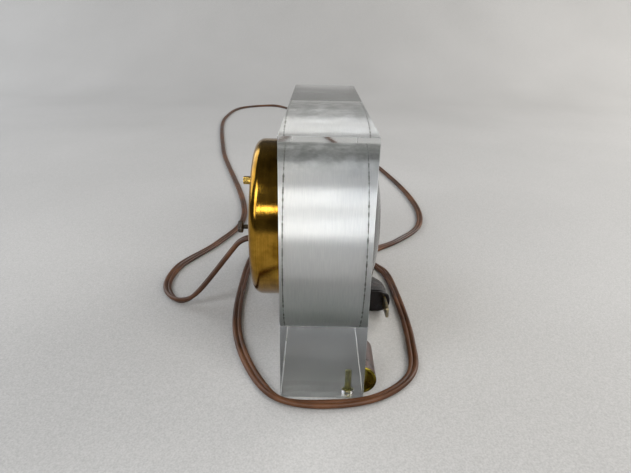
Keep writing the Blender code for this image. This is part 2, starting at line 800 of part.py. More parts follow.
def make_train(centre, intermediate, motion, setting, rotor):
    """The wheels, pinions and arbors. Each empty is on the axis of the pieces that it carries."""
    pinion_lead = (PINION_LENGTH - WHEEL_THICKNESS) / 2
    back_pivot = BACK_PLATE_FRONT + PIVOT_LENGTH
    front_pivot = FRONT_PLATE_BACK - PIVOT_LENGTH

    hour_phase = 0
    motion_pinion_phase = meshed_phase(HOUR_WHEEL_TEETH, hour_phase, MOTION_BEARING, MOTION_PINION_TEETH)
    hour_outline = gear_outline(HOUR_WHEEL_TEETH, MOTION_CENTRES, MOTION_PINION_TEETH, hour_phase)
    pipe_middle = (HOUR_PIPE_BORE + HOUR_PIPE_RADIUS) / 2
    hour_wheel = wheel(
        "hour_wheel", hour_outline, pipe_middle, HOUR_WHEEL_FRONT, WHEEL_THICKNESS, bright_brass(), centre
    )
    hour_pipe = tube(
        "hour_pipe_joined",
        HOUR_PIPE_BORE,
        HOUR_PIPE_RADIUS,
        HOUR_HAND_BACK - HAND_THICKNESS - PIPE_END,
        HOUR_WHEEL_FRONT + PINION_LENGTH,
        bright_brass(),
        centre,
    )
    combine(hour_wheel, hour_pipe, "UNION")

    cannon_phase = 0
    motion_phase = meshed_phase(CANNON_PINION_TEETH, cannon_phase, MOTION_BEARING, MOTION_WHEEL_TEETH)
    hub_bore = MOTION_STUD_RADIUS + BEARING_GAP
    hub_middle = hub_bore + MOTION_HUB_WALL / 2
    motion_wheel = wheel(
        "motion_wheel",
        gear_outline(MOTION_WHEEL_TEETH, MOTION_CENTRES, CANNON_PINION_TEETH, motion_phase),
        hub_middle,
        MOTION_WHEEL_FRONT,
        WHEEL_THICKNESS,
        bright_brass(),
        motion,
    )
    motion_pinion = wheel(
        "motion_pinion_joined",
        gear_outline(MOTION_PINION_TEETH, MOTION_CENTRES, HOUR_WHEEL_TEETH, motion_pinion_phase),
        hub_middle,
        MOTION_WHEEL_FRONT - MOTION_PINION_LENGTH,
        MOTION_PINION_LENGTH + WHEEL_THICKNESS / 2,
        bright_brass(),
        motion,
    )
    combine(motion_wheel, motion_pinion, "UNION")
    motion_hub = tube(
        "motion_hub_joined",
        hub_bore,
        hub_bore + MOTION_HUB_WALL,
        MOTION_WHEEL_FRONT - MOTION_PINION_LENGTH - HUB_PROUD,
        MOTION_WHEEL_FRONT + WHEEL_THICKNESS + HUB_PROUD,
        bright_brass(),
        motion,
    )
    combine(motion_wheel, motion_hub, "UNION")
    rod(
        "motion_stud",
        MOTION_STUD_RADIUS,
        FRONT_PLATE_BACK + SEAT_GAP,
        MOTION_WHEEL_FRONT + PINION_LENGTH,
        grey_steel(),
        motion,
    )

    centre_wheel_phase = 0
    pipe_front = MINUTE_HAND_BACK - HAND_THICKNESS - PIPE_END
    collar_back = CENTRE_WHEEL_FRONT - FIT_GAP
    collar_front = collar_back - CLUTCH_COLLAR_LENGTH
    minute_pipe = turned(
        "centre_pipe",
        [
            (MINUTE_PIPE_BORE, pipe_front),
            (MINUTE_PIPE_RADIUS, pipe_front),
            (MINUTE_PIPE_RADIUS, collar_front),
            (CLUTCH_COLLAR_RADIUS, collar_front),
            (CLUTCH_COLLAR_RADIUS, collar_back),
            (MINUTE_PIPE_RADIUS, collar_back),
            (MINUTE_PIPE_RADIUS, CENTRE_WHEEL_FRONT + PINION_LENGTH),
            (MINUTE_PIPE_BORE, CENTRE_WHEEL_FRONT + PINION_LENGTH),
        ],
        grey_steel(),
        centre,
        ring=True,
    )
    spring_front = CENTRE_WHEEL_FRONT + WHEEL_THICKNESS + FIT_GAP
    tube(
        "clutch_spring",
        MINUTE_PIPE_RADIUS + FIT_GAP,
        CLUTCH_SPRING_RADIUS,
        spring_front,
        spring_front + CLUTCH_SPRING_THICKNESS,
        grey_steel(),
        centre,
    )
    cannon = wheel(
        "cannon_pinion_joined",
        gear_outline(CANNON_PINION_TEETH, MOTION_CENTRES, MOTION_WHEEL_TEETH, cannon_phase),
        (MINUTE_PIPE_BORE + MINUTE_PIPE_RADIUS) / 2,
        MOTION_WHEEL_FRONT - pinion_lead,
        PINION_LENGTH,
        grey_steel(),
        centre,
    )
    combine(minute_pipe, cannon, "UNION")
    wheel(
        "centre_wheel",
        gear_outline(CENTRE_WHEEL_TEETH, INTERMEDIATE_CENTRES, INTERMEDIATE_PINION_TEETH, centre_wheel_phase),
        MINUTE_PIPE_RADIUS + FIT_GAP,
        CENTRE_WHEEL_FRONT,
        WHEEL_THICKNESS,
        bright_brass(),
        centre,
    )

    intermediate_arbor = rod(
        "intermediate_arbor", INTERMEDIATE_ARBOR_RADIUS, front_pivot, back_pivot, grey_steel(), intermediate
    )
    pinion_phase = meshed_phase(
        CENTRE_WHEEL_TEETH, centre_wheel_phase, INTERMEDIATE_BEARING, INTERMEDIATE_PINION_TEETH
    )
    intermediate_pinion = wheel(
        "intermediate_pinion_joined",
        gear_outline(INTERMEDIATE_PINION_TEETH, INTERMEDIATE_CENTRES, CENTRE_WHEEL_TEETH, pinion_phase),
        INTERMEDIATE_ARBOR_RADIUS / 2,
        CENTRE_WHEEL_FRONT - pinion_lead,
        PINION_LENGTH,
        grey_steel(),
        intermediate,
    )
    combine(intermediate_arbor, intermediate_pinion, "UNION")
    second_pinion_phase = 0
    intermediate_phase = meshed_phase(
        SECOND_PINION_TEETH, second_pinion_phase, INTERMEDIATE_BEARING, INTERMEDIATE_WHEEL_TEETH
    )
    wheel(
        "intermediate_wheel",
        gear_outline(INTERMEDIATE_WHEEL_TEETH, INTERMEDIATE_CENTRES, SECOND_PINION_TEETH, intermediate_phase),
        INTERMEDIATE_ARBOR_RADIUS + FIT_GAP,
        INTERMEDIATE_WHEEL_FRONT,
        WHEEL_THICKNESS,
        bright_brass(),
        intermediate,
    )

    second_arbor = rod(
        "second_arbor",
        SECOND_ARBOR_RADIUS,
        SECOND_HAND_BACK - HAND_THICKNESS - PIPE_END,
        back_pivot,
        grey_steel(),
        centre,
    )
    second_pinion = wheel(
        "second_pinion_joined",
        gear_outline(
            SECOND_PINION_TEETH, INTERMEDIATE_CENTRES, INTERMEDIATE_WHEEL_TEETH, second_pinion_phase
        ),
        SECOND_ARBOR_RADIUS / 2,
        INTERMEDIATE_WHEEL_FRONT - pinion_lead,
        PINION_LENGTH,
        grey_steel(),
        centre,
    )
    combine(second_arbor, second_pinion, "UNION")
    second_phase = 0
    wheel(
        "second_wheel",
        gear_outline(SECOND_WHEEL_TEETH, ROTOR_CENTRES, ROTOR_PINION_TEETH, second_phase),
        SECOND_ARBOR_RADIUS + FIT_GAP,
        SECOND_WHEEL_FRONT,
        WHEEL_THICKNESS,
        bright_brass(),
        centre,
    )

    rotor_phase = meshed_phase(SECOND_WHEEL_TEETH, second_phase, ROTOR_BEARING, ROTOR_PINION_TEETH)
    rotor_spindle = rod(
        "rotor_spindle",
        ROTOR_SPINDLE_RADIUS,
        SECOND_WHEEL_FRONT - pinion_lead - SEAT_GAP,
        CAPSULE_FRONT + PIVOT_LENGTH,
        grey_steel(),
        rotor,
    )
    rotor_pinion = wheel(
        "rotor_pinion_joined",
        gear_outline(ROTOR_PINION_TEETH, ROTOR_CENTRES, SECOND_WHEEL_TEETH, rotor_phase),
        ROTOR_SPINDLE_RADIUS / 2,
        SECOND_WHEEL_FRONT - pinion_lead,
        PINION_LENGTH,
        grey_steel(),
        rotor,
    )
    combine(rotor_spindle, rotor_pinion, "UNION")

    knob_front = CAN_BACK + KNOB_STANDOFF
    setting_shaft = rod(
        "setting_shaft",
        SETTING_SHAFT_RADIUS,
        front_pivot,
        knob_front + KNOB_SOCKET - FIT_GAP,
        grey_steel(),
        setting,
    )
    setting_phase = meshed_phase(MOTION_WHEEL_TEETH, motion_phase, SETTING_BEARING, SETTING_PINION_TEETH)
    setting_pinion = wheel(
        "setting_pinion_joined",
        gear_outline(SETTING_PINION_TEETH, MOTION_CENTRES, MOTION_WHEEL_TEETH, setting_phase),
        SETTING_SHAFT_RADIUS / 2,
        MOTION_WHEEL_FRONT - pinion_lead,
        PINION_LENGTH,
        grey_steel(),
        setting,
    )
    combine(setting_shaft, setting_pinion, "UNION")
    knob_back = knob_front + KNOB_THICKNESS
    socket = SETTING_SHAFT_RADIUS + FIT_GAP
    turned(
        "setting_knob",
        [
            (0, knob_front + KNOB_SOCKET),
            (socket, knob_front + KNOB_SOCKET),
            (socket, knob_front),
            (KNOB_RADIUS - KNOB_BEVEL, knob_front),
            (KNOB_RADIUS, knob_front + KNOB_BEVEL),
            (KNOB_RADIUS, knob_back - KNOB_BEVEL),
            (KNOB_RADIUS - KNOB_BEVEL, knob_back),
            (0, knob_back),
        ],
        brown_plastic(),
        setting,
    )


def hand(name, length, width, bore, back, turn, material, centre, tail=0):
    """A tapered hand with a round hub, turned clockwise from twelve as seen from the front."""
    hub = bore + HAND_HUB_WALL
    opening = math.asin(width / 2 / hub)
    shoulder = length * HAND_WAIST_SHARE
    tip = width * HAND_TIP_SHARE
    start = math.pi / 2 + opening
    stop = math.pi / 2 - opening + math.tau
    steps = [start + (stop - start) * i / SMALL_ROUND for i in range(SMALL_ROUND + 1)]
    outline = [polar(hub, angle) for angle in steps]
    if tail:
        below = [point for point in outline if point[1] < -hub * math.cos(opening * 2)]
        first = outline.index(below[0])
        outline[first : first + len(below)] = [(-width / 2, -tail), (width / 2, -tail)]
    outline += [(width / 2, shoulder), (tip, length), (-tip, length), (-width / 2, shoulder)]
    made = plate(name, outline, [circle(bore)], back - HAND_THICKNESS, back, material, centre)
    made.rotation_euler.y = turn
    return made


def make_hands(centre):
    """Hour, minute and second hands, set to the rest time."""
    second_turn = math.tau * REST_SECOND / 60
    minute_turn = (math.tau * REST_MINUTE + second_turn) / 60
    hour_turn = (math.tau * REST_HOUR + minute_turn) / 12
    hand(
        "hour_hand",
        HOUR_HAND_LENGTH,
        HOUR_HAND_WIDTH,
        HOUR_PIPE_RADIUS + FIT_GAP,
        HOUR_HAND_BACK,
        hour_turn,
        black_enamel(),
        centre,
    )
    hand(
        "minute_hand",
        MINUTE_HAND_LENGTH,
        MINUTE_HAND_WIDTH,
        MINUTE_PIPE_RADIUS + FIT_GAP,
        MINUTE_HAND_BACK,
        minute_turn,
        black_enamel(),
        centre,
    )
    hand(
        "second_hand",
        SECOND_HAND_LENGTH,
        SECOND_HAND_WIDTH,
        SECOND_ARBOR_RADIUS + FIT_GAP,
        SECOND_HAND_BACK,
        second_turn,
        red_enamel(),
        centre,
        SECOND_HAND_TAIL,
    )


def make_motor(centre, rotor):
    """The sealed rotor capsule, the laminated core round it, and the coil on the core's top limb."""
    spindle_bore = ROTOR_SPINDLE_RADIUS + BEARING_GAP
    bore_depth = CAPSULE_FRONT + PIVOT_LENGTH + SEAT_GAP
    capsule_back = CAPSULE_FRONT + CAPSULE_LENGTH
    turned(
        "rotor_capsule",
        [
            (0, bore_depth),
            (spindle_bore, bore_depth),
            (spindle_bore, CAPSULE_FRONT),
            (CAPSULE_RADIUS - CAPSULE_LIP, CAPSULE_FRONT),
            (CAPSULE_RADIUS, CAPSULE_FRONT + CAPSULE_LIP),
            (CAPSULE_RADIUS, capsule_back - CAPSULE_LIP),
            (CAPSULE_RADIUS - CAPSULE_LIP, capsule_back),
            (0, capsule_back),
        ],
        copper(),
        rotor,
        LARGE_ROUND // 2,
    )
    outline = [
        (-CORE_HALF_WIDTH, -CORE_BOTTOM),
        (CORE_HALF_WIDTH, -CORE_BOTTOM),
        (CORE_HALF_WIDTH, CORE_TOP),
        (-CORE_HALF_WIDTH, CORE_TOP),
    ]
    window = [
        (-WINDOW_HALF_WIDTH, -WINDOW_BOTTOM),
        (WINDOW_HALF_WIDTH, -WINDOW_BOTTOM),
        (WINDOW_HALF_WIDTH, WINDOW_TOP),
        (-WINDOW_HALF_WIDTH, WINDOW_TOP),
    ]
    pole_bore = circle(CAPSULE_RADIUS + SEAT_GAP, ROTOR_PLACE, LARGE_ROUND // 2)
    plate("stator_core", outline, [window, pole_bore], CORE_FRONT, CORE_BACK, dark_steel(), centre)
    for number, side in enumerate((-1, 1), 1):
        post = rod(
            f"core_post_{number}",
            POST_RADIUS,
            BACK_PLATE_BACK + SEAT_GAP,
            CORE_FRONT - SEAT_GAP,
            bright_brass(),
            centre,
        )
        post.location = (side * (CORE_HALF_WIDTH - CORE_LIMB / 2), 0, -POST_DROP)
    make_coil(centre)


def make_coil(centre):
    """A bobbin round the top limb of the core, and the winding on it."""
    middle = (0, (CORE_FRONT + CORE_BACK) / 2, CORE_TOP - COIL_LIMB / 2)
    limb = (CORE_THICKNESS / 2, COIL_LIMB / 2)
    inside = SEAT_GAP
    barrel = inside + BOBBIN_WALL
    rim = barrel + BOBBIN_DEPTH
    end = BOBBIN_HALF_LENGTH
    cheek = end - BOBBIN_FLANGE
    steps = [
        (-end, inside),
        (-end, rim),
        (-cheek, rim),
        (-cheek, barrel),
        (cheek, barrel),
        (cheek, rim),
        (end, rim),
        (end, inside),
    ]
    lofted("coil_bobbin", rings_round(middle, limb, steps), tan_board(), centre, closed=True)
    wound_end = cheek - SEAT_GAP
    wound_rim = rim - WINDING_RECESS
    wound_barrel = barrel + SEAT_GAP
    steps = [
        (-wound_end, wound_barrel),
        (-wound_end, wound_rim),
        (wound_end, wound_rim),
        (wound_end, wound_barrel),
    ]
    lofted("coil_winding", rings_round(middle, limb, steps), copper(), centre, closed=True)
    wound_back = middle[1] + limb[0] + wound_rim
    make_coil_leads(wound_back, middle[2], centre)


def make_coil_leads(wound_back, coil_height, centre):
    """Two insulated wires from the bushing's inner end up to the back of the winding."""
    bushing_end = CAN_BACK - CAN_WALL - SEAT_GAP - BUSHING_FLANGE
    start_y = bushing_end - SEAT_GAP - COIL_LEAD_RADIUS
    end_y = wound_back + SEAT_GAP + COIL_LEAD_RADIUS
    for number, side in enumerate((-1, 1), 1):
        offset = side * COIL_LEAD_SPACING / 2
        start = Vector((BUSHING_X + offset, start_y, BUSHING_Z - MOVEMENT_HEIGHT))
        end = Vector((offset, end_y, coil_height))
        points = []
        for i in range(COIL_LEAD_STEPS + 1):
            along = i / COIL_LEAD_STEPS
            bow = COIL_LEAD_BOW * math.sin(math.pi * along)
            points.append(start.lerp(end, along) + Vector((side * bow, 0, 0)))
        wire(f"coil_lead_{number}", points, COIL_LEAD_RADIUS, brown_plastic(), centre)


def wire(name, points, radius, material, parent=None):
    """A round wire through points."""
    curve = bpy.data.curves.new(name, "CURVE")
    curve.dimensions = "3D"
    curve.bevel_depth = radius
    curve.bevel_resolution = 2
    curve.use_fill_caps = True
    spline = curve.splines.new("POLY")
    spline.points.add(len(points) - 1)
    for slot, point in zip(spline.points, points):
        slot.co = (*point, 1)
    curve.materials.append(material)
    made = bpy.data.objects.new(name, curve)
    bpy.context.scene.collection.objects.link(made)
    made.parent = parent


def rings_round(middle, limb, steps):
    """Rectangles across X round a bar: each step is a place along X and a distance out from the bar."""
    rings = []
    for x, out in steps:
        y = limb[0] + out
        z = limb[1] + out
        corners = ((-y, -z), (y, -z), (y, z), (-y, z))
        rings.append([(middle[0] + x, middle[1] + b, middle[2] + c) for b, c in corners])
    return rings


def make_can(centre):
    """The brass can on the block's back, with the studs, nuts and bushing in it."""
    flange_front = BLOCK_BACK + SEAT_GAP
    flange_back = flange_front + CAN_WALL
    corner = CAN_BACK - CAN_EDGE_RADIUS
    inner_radius = CAN_RADIUS - CAN_WALL
    inner_edge = CAN_EDGE_RADIUS - CAN_WALL
    turns = [math.pi / 2 * i / CAN_EDGE_STEPS for i in range(CAN_EDGE_STEPS + 1)]
    centre_radius = CAN_RADIUS - CAN_EDGE_RADIUS
    outside = [
        (centre_radius + CAN_EDGE_RADIUS * math.cos(a), corner + CAN_EDGE_RADIUS * math.sin(a)) for a in turns
    ]
    inside = [(centre_radius + inner_edge * math.cos(a), corner + inner_edge * math.sin(a)) for a in turns]
    flange_radius = BORE_RADIUS + CAN_FLANGE_OVERLAP
    profile = [
        (0, CAN_BACK - CAN_WALL),
        *reversed(inside),
        (inner_radius, flange_front),
        (flange_radius, flange_front),
        (flange_radius, flange_back),
        (CAN_RADIUS, flange_back),
        *outside,
        (0, CAN_BACK),
    ]
    can = turned("rear_can", profile, aged_brass(), centre, LARGE_ROUND)
    holes = [("setting", SETTING_SHAFT_RADIUS + SEAT_GAP, SETTING_PLACE)]
    bushing_place = (BUSHING_X, BUSHING_Z - MOVEMENT_HEIGHT)
    holes.append(("bushing", BUSHING_NECK_RADIUS + SEAT_GAP, bushing_place))
    for number, angle in enumerate(STUD_ANGLES, 1):
        place = polar(BACK_PLATE_RADIUS - STUD_INSET, angle)
        holes.append((f"stud_{number}", STUD_RADIUS + SEAT_GAP, place))
        make_stud(number, place, centre)
    for name, radius, (x, z) in holes:
        drill = rod(
            f"can_{name}_cutter",
            radius,
            CAN_BACK - CAN_WALL - CUT_OVERRUN,
            CAN_BACK + CUT_OVERRUN,
            aged_brass(),
            centre,
        )
        drill.location = (x, 0, z)
        combine(can, drill, "DIFFERENCE")
    bushing = make_bushing(centre)
    bushing.location = (bushing_place[0], 0, bushing_place[1])


def make_stud(number, place, centre):
    """A stud from the back plate out through the can, and the nut on its end."""
    stud = rod(
        f"can_stud_{number}",
        STUD_RADIUS,
        BACK_PLATE_BACK + SEAT_GAP,
        CAN_BACK + STUD_PROUD,
        bright_brass(),
        centre,
    )
    stud.location = (place[0], 0, place[1])
    nut_front = CAN_BACK + SEAT_GAP
    nut = plate(
        f"can_nut_{number}",
        circle(NUT_RADIUS, segments=6),
        [circle(STUD_RADIUS + FIT_GAP)],
        nut_front,
        nut_front + NUT_HEIGHT,
        bright_brass(),
        centre,
    )
    nut.location = (place[0], 0, place[1])


def make_bushing(centre):
    """The bushing that carries the lead through the can's back."""
    wall_front = CAN_BACK - CAN_WALL - SEAT_GAP
    wall_back = CAN_BACK + SEAT_GAP
    flange_back = wall_back + BUSHING_FLANGE
    return turned(
        "lead_bushing",
        [
            (0, wall_front - BUSHING_FLANGE),
            (BUSHING_FLANGE_RADIUS, wall_front - BUSHING_FLANGE),
            (BUSHING_FLANGE_RADIUS, wall_front),
            (BUSHING_NECK_RADIUS, wall_front),
            (BUSHING_NECK_RADIUS, wall_back),
            (BUSHING_FLANGE_RADIUS, wall_back),
            (BUSHING_FLANGE_RADIUS, flange_back),
            (BUSHING_NOSE_RADIUS, flange_back + BUSHING_NOSE),
            (0, flange_back + BUSHING_NOSE),
        ],
        black_rubber(),
        centre,
    )


def smooth_route(points):
    """Closely spaced points on a smooth curve through the route's points."""
    spline = [2 * points[0] - points[1], *points, 2 * points[-1] - points[-2]]
    fine = []
    for before, start, end, after in zip(spline, spline[1:], spline[2:], spline[3:]):
        for i in range(LEAD_SAMPLES_PER_SPAN):
            fine.append(curve_between(before, start, end, after, i / LEAD_SAMPLES_PER_SPAN))
    return [*fine, points[-1]]


def curve_between(before, start, end, after, t):
    """A point of a centripetal curve between start and end, with t from 0 to 1."""
    first = math.sqrt((start - before).length)
    second = first + math.sqrt((end - start).length)
    third = second + math.sqrt((after - end).length)
    u = first + (second - first) * t
    a = before.lerp(start, u / first)
    b = start.lerp(end, (u - first) / (second - first))
    c = end.lerp(after, (u - second) / (third - second))
    d = a.lerp(b, u / second)
    e = b.lerp(c, (u - first) / (third - first))
    return d.lerp(e, (u - first) / (second - first))


def thinned_route(fine):
    """Points spread along the curve, closer together where it turns."""
    travelled = [0.0]
    for i in range(1, len(fine)):
        step = fine[i] - fine[i - 1]
        turn = step.angle(fine[min(i + 1, len(fine) - 1)] - fine[i], 0) if i + 1 < len(fine) else 0
        travelled.append(travelled[-1] + step.length + LEAD_TURN_LENGTH * turn)
    picked = []
    for number in range(LEAD_POINTS):
        goal = travelled[-1] * number / (LEAD_POINTS - 1)
        picked.append(min(range(len(fine)), key=lambda i: abs(travelled[i] - goal)))
    return [fine[i] for i in sorted(set(picked))]


def make_lead():
    """The mains lead as one round tube along its route."""
    route = [Vector((x, y, height + LEAD_RADIUS + FLOOR_GAP)) for x, y, height in LEAD_ROUTE]
    points = [route[0], *thinned_route(smooth_route(route[1:-1])), route[-1]]
    wire("mains_lead", points, LEAD_RADIUS, brown_plastic())


def rounded_section(x, half_width, half_height):
    """A ring of points across X, between an oval and a box, round the plug's own middle line."""
    points = []
    for i in range(PLUG_SIDES):
        angle = math.tau * i / PLUG_SIDES
        across = math.copysign(abs(math.cos(angle)) ** (2 / PLUG_ROUNDING), math.cos(angle))
        up = math.copysign(abs(math.sin(angle)) ** (2 / PLUG_ROUNDING), math.sin(angle))
        points.append((x, half_width * across, PLUG_HALF_HEIGHT + half_height * up))
    return points


def make_plug():
    """The plug on the lead's end, its face towards -X, and its two flat blades."""
    rest = axis_empty("plug_rest", PLUG_X + PLUG_FLANGE, PLUG_Y, FLOOR_GAP)
    rest.rotation_euler = (0, PLUG_TILT, 0)
    flange = [
        rounded_section(PLUG_FLANGE * (along - 1), PLUG_HALF_WIDTH * wide, PLUG_HALF_HEIGHT * high)
        for along, wide, high in PLUG_FLANGE_SHARES
    ]
    grip = [
        rounded_section(
            (PLUG_LENGTH - PLUG_FLANGE) * along + SEAT_GAP * (1 - along),
            PLUG_HALF_WIDTH * wide,
            PLUG_HALF_HEIGHT * high,
        )
        for along, wide, high in PLUG_GRIP_SHARES
    ]
    lofted("plug_body", flange + grip, dark_plastic(), rest)
    blade_start = -PLUG_FLANGE - SEAT_GAP
    for name, side in (("front", -1), ("back", 1)):
        y = side * BLADE_SPACING / 2
        box(
            f"plug_blade_{name}",
            (blade_start - BLADE_LENGTH, y - BLADE_THICKNESS / 2, PLUG_HALF_HEIGHT - BLADE_WIDTH / 2),
            (blade_start, y + BLADE_THICKNESS / 2, PLUG_HALF_HEIGHT + BLADE_WIDTH / 2),
            bright_brass(),
            rest,
        )


def main():
    for old in list(bpy.data.objects):
        bpy.data.objects.remove(old, do_unlink=True)
    centre = axis_empty("movement_centre", 0, 0, MOVEMENT_HEIGHT)

    def beside(name, place):
        return axis_empty(name, place[0], 0, MOVEMENT_HEIGHT + place[1])

    intermediate = beside("intermediate_axis", INTERMEDIATE_PLACE)
    motion = beside("motion_axis", MOTION_PLACE)
    setting = beside("setting_axis", SETTING_PLACE)
    rotor = beside("rotor_axis", ROTOR_PLACE)
    make_block()
    make_feet()
    make_case(centre)
    make_plates(centre)
    make_train(centre, intermediate, motion, setting, rotor)
    make_hands(centre)
    make_motor(centre, rotor)
    make_can(centre)
    make_lead()
    make_plug()


main()
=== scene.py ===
"""An acrylic desk clock with a brass can on its back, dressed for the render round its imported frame.

+Z is up, the dial looks towards -Y, and every length is in metres.
"""

import bmesh
import bpy
import numpy as np
from mathutils import Matrix


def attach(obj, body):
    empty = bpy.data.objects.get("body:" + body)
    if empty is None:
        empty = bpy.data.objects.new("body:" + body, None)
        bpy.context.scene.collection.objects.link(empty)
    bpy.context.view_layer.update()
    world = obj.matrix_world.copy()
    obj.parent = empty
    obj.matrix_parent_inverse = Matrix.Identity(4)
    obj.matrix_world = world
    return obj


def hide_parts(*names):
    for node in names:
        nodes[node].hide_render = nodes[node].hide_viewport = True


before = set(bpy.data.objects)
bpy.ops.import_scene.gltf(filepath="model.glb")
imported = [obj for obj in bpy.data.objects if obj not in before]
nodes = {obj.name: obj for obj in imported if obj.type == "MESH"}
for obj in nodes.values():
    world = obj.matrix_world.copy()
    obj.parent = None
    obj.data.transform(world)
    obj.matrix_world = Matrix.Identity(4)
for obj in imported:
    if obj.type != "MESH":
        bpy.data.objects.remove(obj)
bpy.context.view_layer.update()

# Camera. It stands 18 cm off the clock's left end and a little above it, and looks along the
# clock's width. Its place and angles were worked out from the block's own corners.
image_width, film_width = 631, 36
focal_length_in_pixels = 501.8
camera_place = (-0.2623, 0.0045, 0.1595)
pitch, yaw, roll = np.radians((23.3, -0.06, 1.1))


def put(name, data):
    """A new object of a mesh, text, camera or lamp."""
    made = bpy.data.objects.new(name, data)
    bpy.context.scene.collection.objects.link(made)
    return made


def set_up(name, data, right, up, back, place):
    """A camera or lamp at place, with the directions of its right side, its top and its back."""
    made = put(name, data)
    stand = np.eye(4)
    stand[:3] = np.column_stack((right, up, back, place))
    made.matrix_world = Matrix(stand.tolist())
    return made


ahead = np.array((np.cos(pitch) * np.cos(yaw), np.cos(pitch) * np.sin(yaw), -np.sin(pitch)))
level = np.array((np.sin(yaw), -np.cos(yaw), 0))
over = np.cross(level, ahead)
right = np.cos(roll) * level + np.sin(roll) * over
up = np.cos(roll) * over - np.sin(roll) * level
camera = set_up("camera", bpy.data.cameras.new("camera"), right, up, -ahead, camera_place)
camera.data.sensor_width = film_width
camera.data.lens = film_width * focal_length_in_pixels / image_width
camera.data.clip_start = 0.01
bpy.context.scene.camera = camera


# Mains lead. Flat two-core flex in brown vinyl, extruded as two round ribs with a groove
# between them. It leaves the can below its middle, drops to the table and lies there in loose
# loops, limp with age. In a tight bend it rises on its edge, because it bends more easily so.
lead_width, lead_thickness = 0.0052, 0.0026
lead_web = 0.001
lead_floor_gap = 0.0001
lead_step = 0.0015
lead_hangs_above = 0.004
lead_free_above, lead_settles_over = 0.012, 0.008
lead_tightest_bend, lead_most_lean = 75, np.radians(62)
bend_smoothing, lean_smoothing = 6, 10
rib_end, rib_points = np.radians(148), 17
lead_route = np.array((
    (0.002, 0.0398, 0.0421), (0.002, 0.0412, 0.0421), (0.002, 0.0441, 0.0417),
    (0.0019, 0.0484, 0.0392), (0.0018, 0.0525, 0.0342), (0.0003, 0.0735, 0.0076),
    (-0.0003, 0.0805, 0.002), (0.0009, 0.086, 0.0003), (0.0056, 0.0914, 0),
    (0.02, 0.0985, 0), (0.047, 0.0982, 0), (0.09, 0.0785, 0),
    (0.14, 0.0665, 0), (0.39, 0.1275, 0), (0.63, 0.164, 0),
    (0.735, 0.146, 0), (0.76, 0.088, 0), (0.58, 0.006, 0),
    (0.215, -0.087, 0), (0.1337, -0.0832, 0), (0.099, -0.06, 0),
    (0.079, -0.0388, 0), (0.065, -0.0347, 0), (0.044, -0.0436, 0),
    (0.02, -0.0467, 0), (-0.0345, -0.048, 0), (-0.064, -0.0432, 0),
    (-0.0805, -0.025, 0), (-0.0853, -0.001, 0), (-0.0832, 0.0188, 0),
    (-0.071, 0.0296, 0), (-0.0345, 0.045, 0), (0.0167, 0.0505, 0),
    (0.085, 0.045, 0), (0.117, 0.02, 0), (0.102, -0.013, 0),
    (0.079, -0.0275, 0), (0.06, -0.0284, 0.0003), (0.0338, -0.0307, 0.0013),
))
plug_neck = (0.0324, -0.0307, 0.0014)


def linear(colour):
    """The linear colour of an sRGB hex value: below 0.04045 a twelfth, above it a power of 2.4."""
    shares = np.array([*bytes.fromhex(colour[1:])]) / 255
    low, high = shares / 12.92, ((shares + 0.055) / 1.055) ** 2.4
    return (*np.where(shares <= 0.04045, low, high), 1.0)


def add(tree, kind, sockets=None, **settings):
    """Adds a node with its settings and the values or links of its sockets."""
    made = tree.nodes.new("ShaderNode" + kind)
    for name, value in settings.items():
        setattr(made, name, value)
    for socket, value in (sockets or {}).items():
        if isinstance(value, bpy.types.NodeSocket):
            tree.links.new(value, made.inputs[socket])
        else:
            made.inputs[socket].default_value = value
    return made


def blank_material(name):
    """An empty material, its node tree, and the object's own point that is being shaded."""
    made = bpy.data.materials.new(name)
    made.use_nodes = True
    made.node_tree.nodes.clear()
    return made, made.node_tree, add(made.node_tree, "TexCoord").outputs["Object"]


def noise(tree, where, scale=5.0, detail=2.0, roughness=0.5, distortion=0.0):
    """A cloudy level from 0 to 1 that changes about scale times in a metre."""
    sockets = {"Vector": where, "Scale": scale, "Detail": detail, "Roughness": roughness}
    return add(tree, "TexNoise", {**sockets, "Distortion": distortion}).outputs["Fac"]


def stretched(tree, where, scale, turn=(0, 0, 0)):
    """Points scaled along each axis and turned, for marks longer one way than the other."""
    return add(tree, "Mapping", {"Vector": where, "Rotation": turn, "Scale": scale}).outputs["Vector"]


def ramp(tree, level, *stops):
    """The colour of a level between the stops, each a level and its colour."""
    made = add(tree, "ValToRGB", {"Fac": level})
    elements = made.color_ramp.elements
    for number, (place, colour) in enumerate(stops):
        stop = elements[number] if number < 2 else elements.new(place)
        stop.position = place
        stop.color = linear(colour)
    return made.outputs["Color"]


def fitted(tree, level, start, end, low, high):
    """A level between start and end, carried over to low and high."""
    sockets = {"Value": level, "From Min": start, "From Max": end, "To Min": low, "To Max": high}
    return add(tree, "MapRange", sockets).outputs["Result"]


def raised(tree, level, strength, distance):
    """The surface's direction where a level lifts it, by up to a distance in metres."""
    sockets = {"Height": level, "Strength": strength, "Distance": distance}
    return add(tree, "Bump", sockets).outputs["Normal"]


def shade(tree, colour, roughness, normal=None, more=None, inside=None):
    """Ends a material: its skin, with more of the skin's sockets by name, and what fills it."""
    sockets = {"Base Color": colour, "Roughness": roughness, **(more or {})}
    if normal is not None:
        sockets["Normal"] = normal
    ends = {"Surface": add(tree, "BsdfPrincipled", sockets).outputs["BSDF"]}
    if inside is not None:
        ends["Volume"] = inside
    add(tree, "OutputMaterial", ends)


